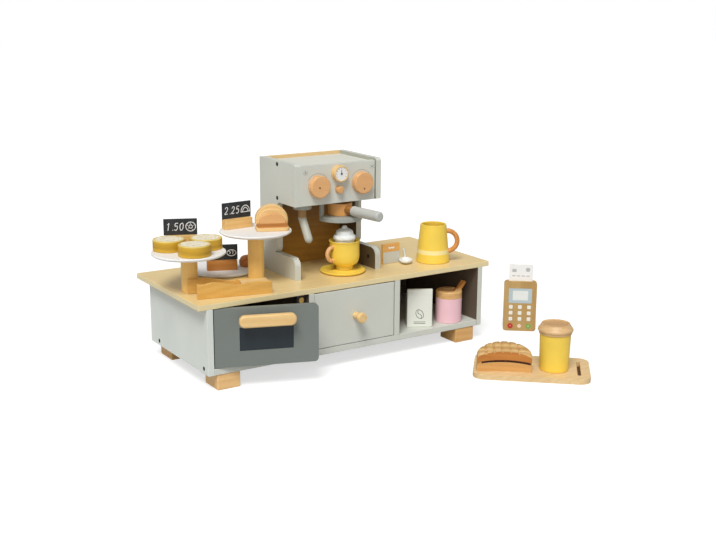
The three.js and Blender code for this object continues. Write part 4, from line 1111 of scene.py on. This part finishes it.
def make_jar():
    place = at(226.5, 26, BAY_FLOOR, 8)
    jar = [(0, 0), (24.7, 0, 1.6), (24.7, 46.7, 0.8), (21.7, 46.7, 0.6), (21.7, 5, 1.5), (0, 5)]
    piece("sugar_jar_turned", lathe(rounded(jar, 1, 5), 112), PINK, place, "sugar_jar")
    dress("jar_lid", wood("lid_wood", (228, 186, 126), (206, 156, 96), "X", 61), 0.9)
    spoon = (moved(place, 39.9, 0, 70.5, -45, "Y"), "jar_spoon")
    bar = cuboid(-62, -0.2, -4.9, 4.9, -3.2, 3.2)
    orange = wood("spoon_wood", (226, 164, 88), (204, 134, 62), "X", 62)
    piece("jar_spoon_bar", bar, [orange, pale_wood("X", 62)], *spoon, 1, facing(x=1))
    detail("jar_spoon_scoop", shifted(rod(7.6, -3.2, 3.2, 1.5, 1.5, 48), -66), pale_wood("X", 63), *spoon)


# Card terminal and bank card


def make_terminal():
    place = at(379.5, -2.8, 0, -38.8)
    dress("card_terminal", wood("terminal_wood", (204, 170, 112), (178, 140, 82), "Z", 71), 1.3)
    face = place @ FORWARD
    front = (face, "card_terminal")
    rim = slab(round_box(-22.4, 22.4, 56.1, 85.9, 1.6, 5), -0.75, -0.25)
    frame_blue = paint("screen_frame", (186, 200, 202), 0.4)
    detail("terminal_screen_frame", rim, frame_blue, *front, 0.2, slot="pale_paint")
    screen = slab(round_box(-14.5, 15, 62, 81, 1.2, 5), -0.3, -0.12)
    glass = paint("screen_white", (232, 235, 230), 0.3)
    detail("terminal_screen", screen, glass, *front, slot="white_paint")
    keys = []
    for x in (-17.5, 0, 17.5):
        for z in (48.5, 36.5, 24.5):
            keys.append(slab(round_box(x - 3.6, x + 3.6, z - 3.7, z + 3.7, 1.4, 4), -0.1, 0.35))
    key_white = paint("key_white", (238, 236, 226))
    detail("terminal_keys", merged(*keys), key_white, *front, 0.15, slot="white_paint")
    round_keys = (
        ("stop", -17.5, 5.2, (188, 58, 46)),
        ("clear", 0, 3.8, (243, 212, 186)),
        ("go", 17.5, 5.2, (134, 168, 84)),
    )
    for name, x, size, colour in round_keys:
        spot = (moved(face, x, 10.2), "card_terminal")
        key = rod(size, -0.1, 0.4, 0.3, 0.3, 48)
        detail(f"terminal_key_{name}", key, paint(f"key_{name}", colour), *spot, slot="white_paint")
        # The paler dot in the middle of the stop and go keys is a painted highlight.
        if name != "clear":
            dot = lathe([(0, 0.38), (1.5, 0.38), (1.5, 0.46), (0, 0.46)], 24)
            pale = paint(f"key_{name}_dot", tuple(min(255, c + 60) for c in colour))
            detail(f"terminal_dot_{name}", dot, pale, *spot, slot="white_paint")

    dress("bank_card", WHITE, 0.35)
    thin = (-0.02, 0.05)
    chip = slab(round_box(-17, -9, 117, 123, 1, 4), *thin)
    bars = [cuboid(-17 + 9 * i, -10.5 + 9 * i, 108.5, 110.3, *thin) for i in range(4)]
    disc = slab(arc(13, 122, 4.2, 0, 360, 32)[:-1], *thin)
    grey = paint("card_print", (186, 188, 186), 0.6)
    card_face = moved(place, y=6) @ FORWARD
    detail("bank_card_print", merged(chip, disc, *bars), grey, card_face, "bank_card", slot="pale_paint")


# Tray, croissant and to-go cup

TRAY_TOP = 9


def croissant_part(lower, upper, inset=0):
    """A solid over the croissant's plan, between two heights that depend on the place in it."""
    half, columns, rows = 47 - inset, 84, 26
    bm = bmesh.new()

    def plan(share, depth):
        front = 4 * (1 - share**2) + inset
        back = 16 + 25.6 * max(0, 1 - abs(share) ** 2.4) ** 0.8 - inset
        return share * half, front + (back - front) * depth

    def vertex(i, j, height):
        share, depth = -1 + 2 * i / columns, j / rows
        return bm.verts.new(Vector((*plan(share, depth), height(share, depth))) * MM)

    low, high = (
        [[vertex(i, j, height) for j in range(rows + 1)] for i in range(columns + 1)]
        for height in (lower, upper)
    )
    for i in range(columns):
        for j in range(rows):
            for grid in (low, high):
                bm.faces.new((grid[i][j], grid[i + 1][j], grid[i + 1][j + 1], grid[i][j + 1]))
        for j in (0, rows):
            bm.faces.new((low[i][j], low[i + 1][j], high[i + 1][j], high[i][j]))
    for i in (0, columns):
        for j in range(rows):
            bm.faces.new((low[i][j], low[i][j + 1], high[i][j + 1], high[i][j]))
    return bm


def make_croissant(place):
    def crust(share, depth):
        arch = sqrt(max(0, 1 - share**2))
        whole = 29 + 18 * arch
        forward = min(1, depth / 0.5)
        behind = max(0, (depth - 0.5) / 0.5)
        roll = 0.76 + 0.24 * sin(forward * pi / 2) - 0.14 * behind**2.4
        near = min(abs(share + 0.1 * depth - groove) for groove in (-0.66, -0.36, -0.06, 0.24, 0.54))
        return whole * roll - 2.4 * exp(-((near / 0.034) ** 2)) - 0.4

    def bulge(base):
        """A height that grows towards the middle."""
        return lambda share, depth: base + 4 * (1 - share**2)

    slit_low, slit_high, overlap = 11.8, 16.2, 0.5
    crumb = wood("croissant_crust", (218, 184, 122), (178, 134, 78), "X", 82, 1, 0.55)
    side = wood("croissant_side", (206, 138, 64), (180, 110, 44), "X", 84)
    jaw = wood("croissant_jaw", (226, 176, 108), (204, 148, 80), "X", 87)
    inside = wood("croissant_slit_shade", (96, 50, 20), (70, 34, 12), "X", 85)
    front = facing(y=-1, least=0.93)
    croissant = (place, "croissant")
    base = croissant_part(lambda share, depth: 0, bulge(slit_low))
    piece("croissant_base", base, [crumb, jaw], *croissant, 0.7, front)
    cover = croissant_part(bulge(slit_high), crust)
    detail("croissant_cover", cover, [crumb, side], *croissant, 0.9, front)
    # The spine between the halves is dark brown: painted shade in the slit.
    spine = croissant_part(bulge(slit_low - overlap), bulge(slit_high + overlap), 3.4)
    detail("croissant_spine", spine, inside, *croissant)
    detail("croissant_end", cuboid(-46.9, -39, 2, 14, 11, 17), jaw, *croissant, 0.5)


def make_tray():
    tray = at(239.3, -197.3, 0, -41.4)
    dress("serving_tray", wood("tray_wood", (236, 208, 158), (222, 186, 132), "X", 81), 1.8)
    slot_shade = wood("slot_shade", (110, 70, 34), (84, 52, 24), "X", 86)
    detail("tray_slot_shade", cuboid(-88, 88, -44, 44, 0.1, 0.5), slot_shade, tray, "serving_tray")
    make_croissant(moved(tray, -46.5, -39.825, TRAY_TOP, 5))

    cup = moved(tray, 38.1, -8.673, TRAY_TOP)
    wall = [(0, 0), (24.6, 0, 1.2), (25.1, 2), (26.8, 65.5, 0.4), (24.3, 65.5, 0.4), (22.6, 3, 1.5), (0, 2.5)]
    piece("togo_cup_turned", lathe(rounded(wall, 0.8, 5), 112), YELLOW, cup, "togo_cup")
    lid = [
        (0, 59.6), (22.1, 59.6, 0.6), (22.1, 65.6), (28.2, 65.6, 0.6), (28.9, 69.8, 0.5), (30.2, 70.6, 0.5),
        (30.2, 73.6, 0.7), (25, 80.6, 0.5), (24.4, 83, 0.6), (22.4, 83, 0.4), (21.8, 81.2, 0.4), (0, 81.2),
    ]

    def recess(centre, normal):
        return int(centre.z > 80.9 and hypot(centre.x, centre.y) < 21.7)

    finishes = [
        wood("lid_beech", (226, 192, 142), (208, 166, 114), "X", 83),
        wood("lid_recess", (212, 172, 120), (190, 144, 92), "X", 83),
    ]
    piece("togo_lid_turned", lathe(rounded(lid, 0.8, 5), 112), finishes, cup, "togo_lid", choose=recess)


# Floor, light and camera

# The first two are in pixels of the photograph, the sensor's width in millimetres.
PHOTO_WIDTH = 716
FOCAL_LENGTH = 1115
SENSOR = 36


def make_stage():
    reach = 12
    corners = [(-reach, -reach, 0), (reach, -reach, 0), (reach, reach, 0), (-reach, reach, 0)]
    mesh = bpy.data.meshes.new("floor")
    mesh.from_pydata(corners, [], [(0, 1, 2, 3)])
    finish = Finish("floor_white", 0.9, 0)
    seen = finish.add("LightPath").outputs["Is Camera Ray"]
    finish.link(finish.math("MULTIPLY", seen, 0.62), "Emission Strength")
    finish.link((1, 1, 1, 1), "Emission Color")
    mesh.materials.append(finish.done(finish.mix(seen, (0.55, 0.55, 0.55, 1), (0.5, 0.5, 0.5, 1))))
    linked("floor", mesh)

    world = bpy.data.worlds.new("studio")
    bpy.context.scene.world = world
    world.use_nodes = True
    tree = world.node_tree
    background = tree.nodes["Background"].inputs
    background["Color"].default_value = (1, 1, 1, 1)
    seen = add_node(tree, "LightPath").outputs["Is Camera Ray"]
    strength = add_node(tree, "MapRange", value=seen, to_min=0.34, to_max=1)
    feed(tree, background["Strength"], strength.outputs["Result"])


def sun(name, direction, soft, strength):
    """A lamp without falloff that shines along the direction."""
    data = bpy.data.lights.new(name, "SUN")
    data.angle = radians(soft)
    data.energy = strength
    linked(name, data).rotation_euler = Vector(direction).to_track_quat("-Z", "Y").to_euler()


def make_camera():
    azimuth, elevation, roll = (radians(v) for v in (-33.007, 13.853, 0.348))
    level = cos(elevation)
    back = Vector((sin(azimuth) * level, -cos(azimuth) * level, sin(elevation)))
    right = (-back).cross(Vector((0, 0, 1))).normalized()
    up = right.cross(-back)
    across = right * cos(roll) + up * sin(roll)
    upward = up * cos(roll) - right * sin(roll)
    data = bpy.data.cameras.new("camera")
    data.sensor_width = SENSOR
    data.lens = SENSOR * FOCAL_LENGTH / PHOTO_WIDTH
    data.clip_end = 60
    camera = linked("camera", data)
    turn = Matrix((across, upward, back)).transposed().to_4x4()
    camera.matrix_world = Matrix.Translation(ORIGIN + Vector((-1.023, -1.583, 0.636))) @ turn
    bpy.context.scene.camera = camera


make_counter()
make_door()
make_drawer()
make_machine()
make_dials()
make_wand()
make_filter()
make_cup()
make_jug()
make_tea_packet()
make_teaspoon()
make_stands()
make_tongs()
make_bag()
make_jar()
make_terminal()
make_tray()
make_stage()
sun("key", (0.40, 0.42, -0.82), 24, 2.5)
sun("fill", (0.62, 0.74, -0.22), 50, 0.45)
make_camera()
bpy.context.scene.view_settings.view_transform = "Standard"
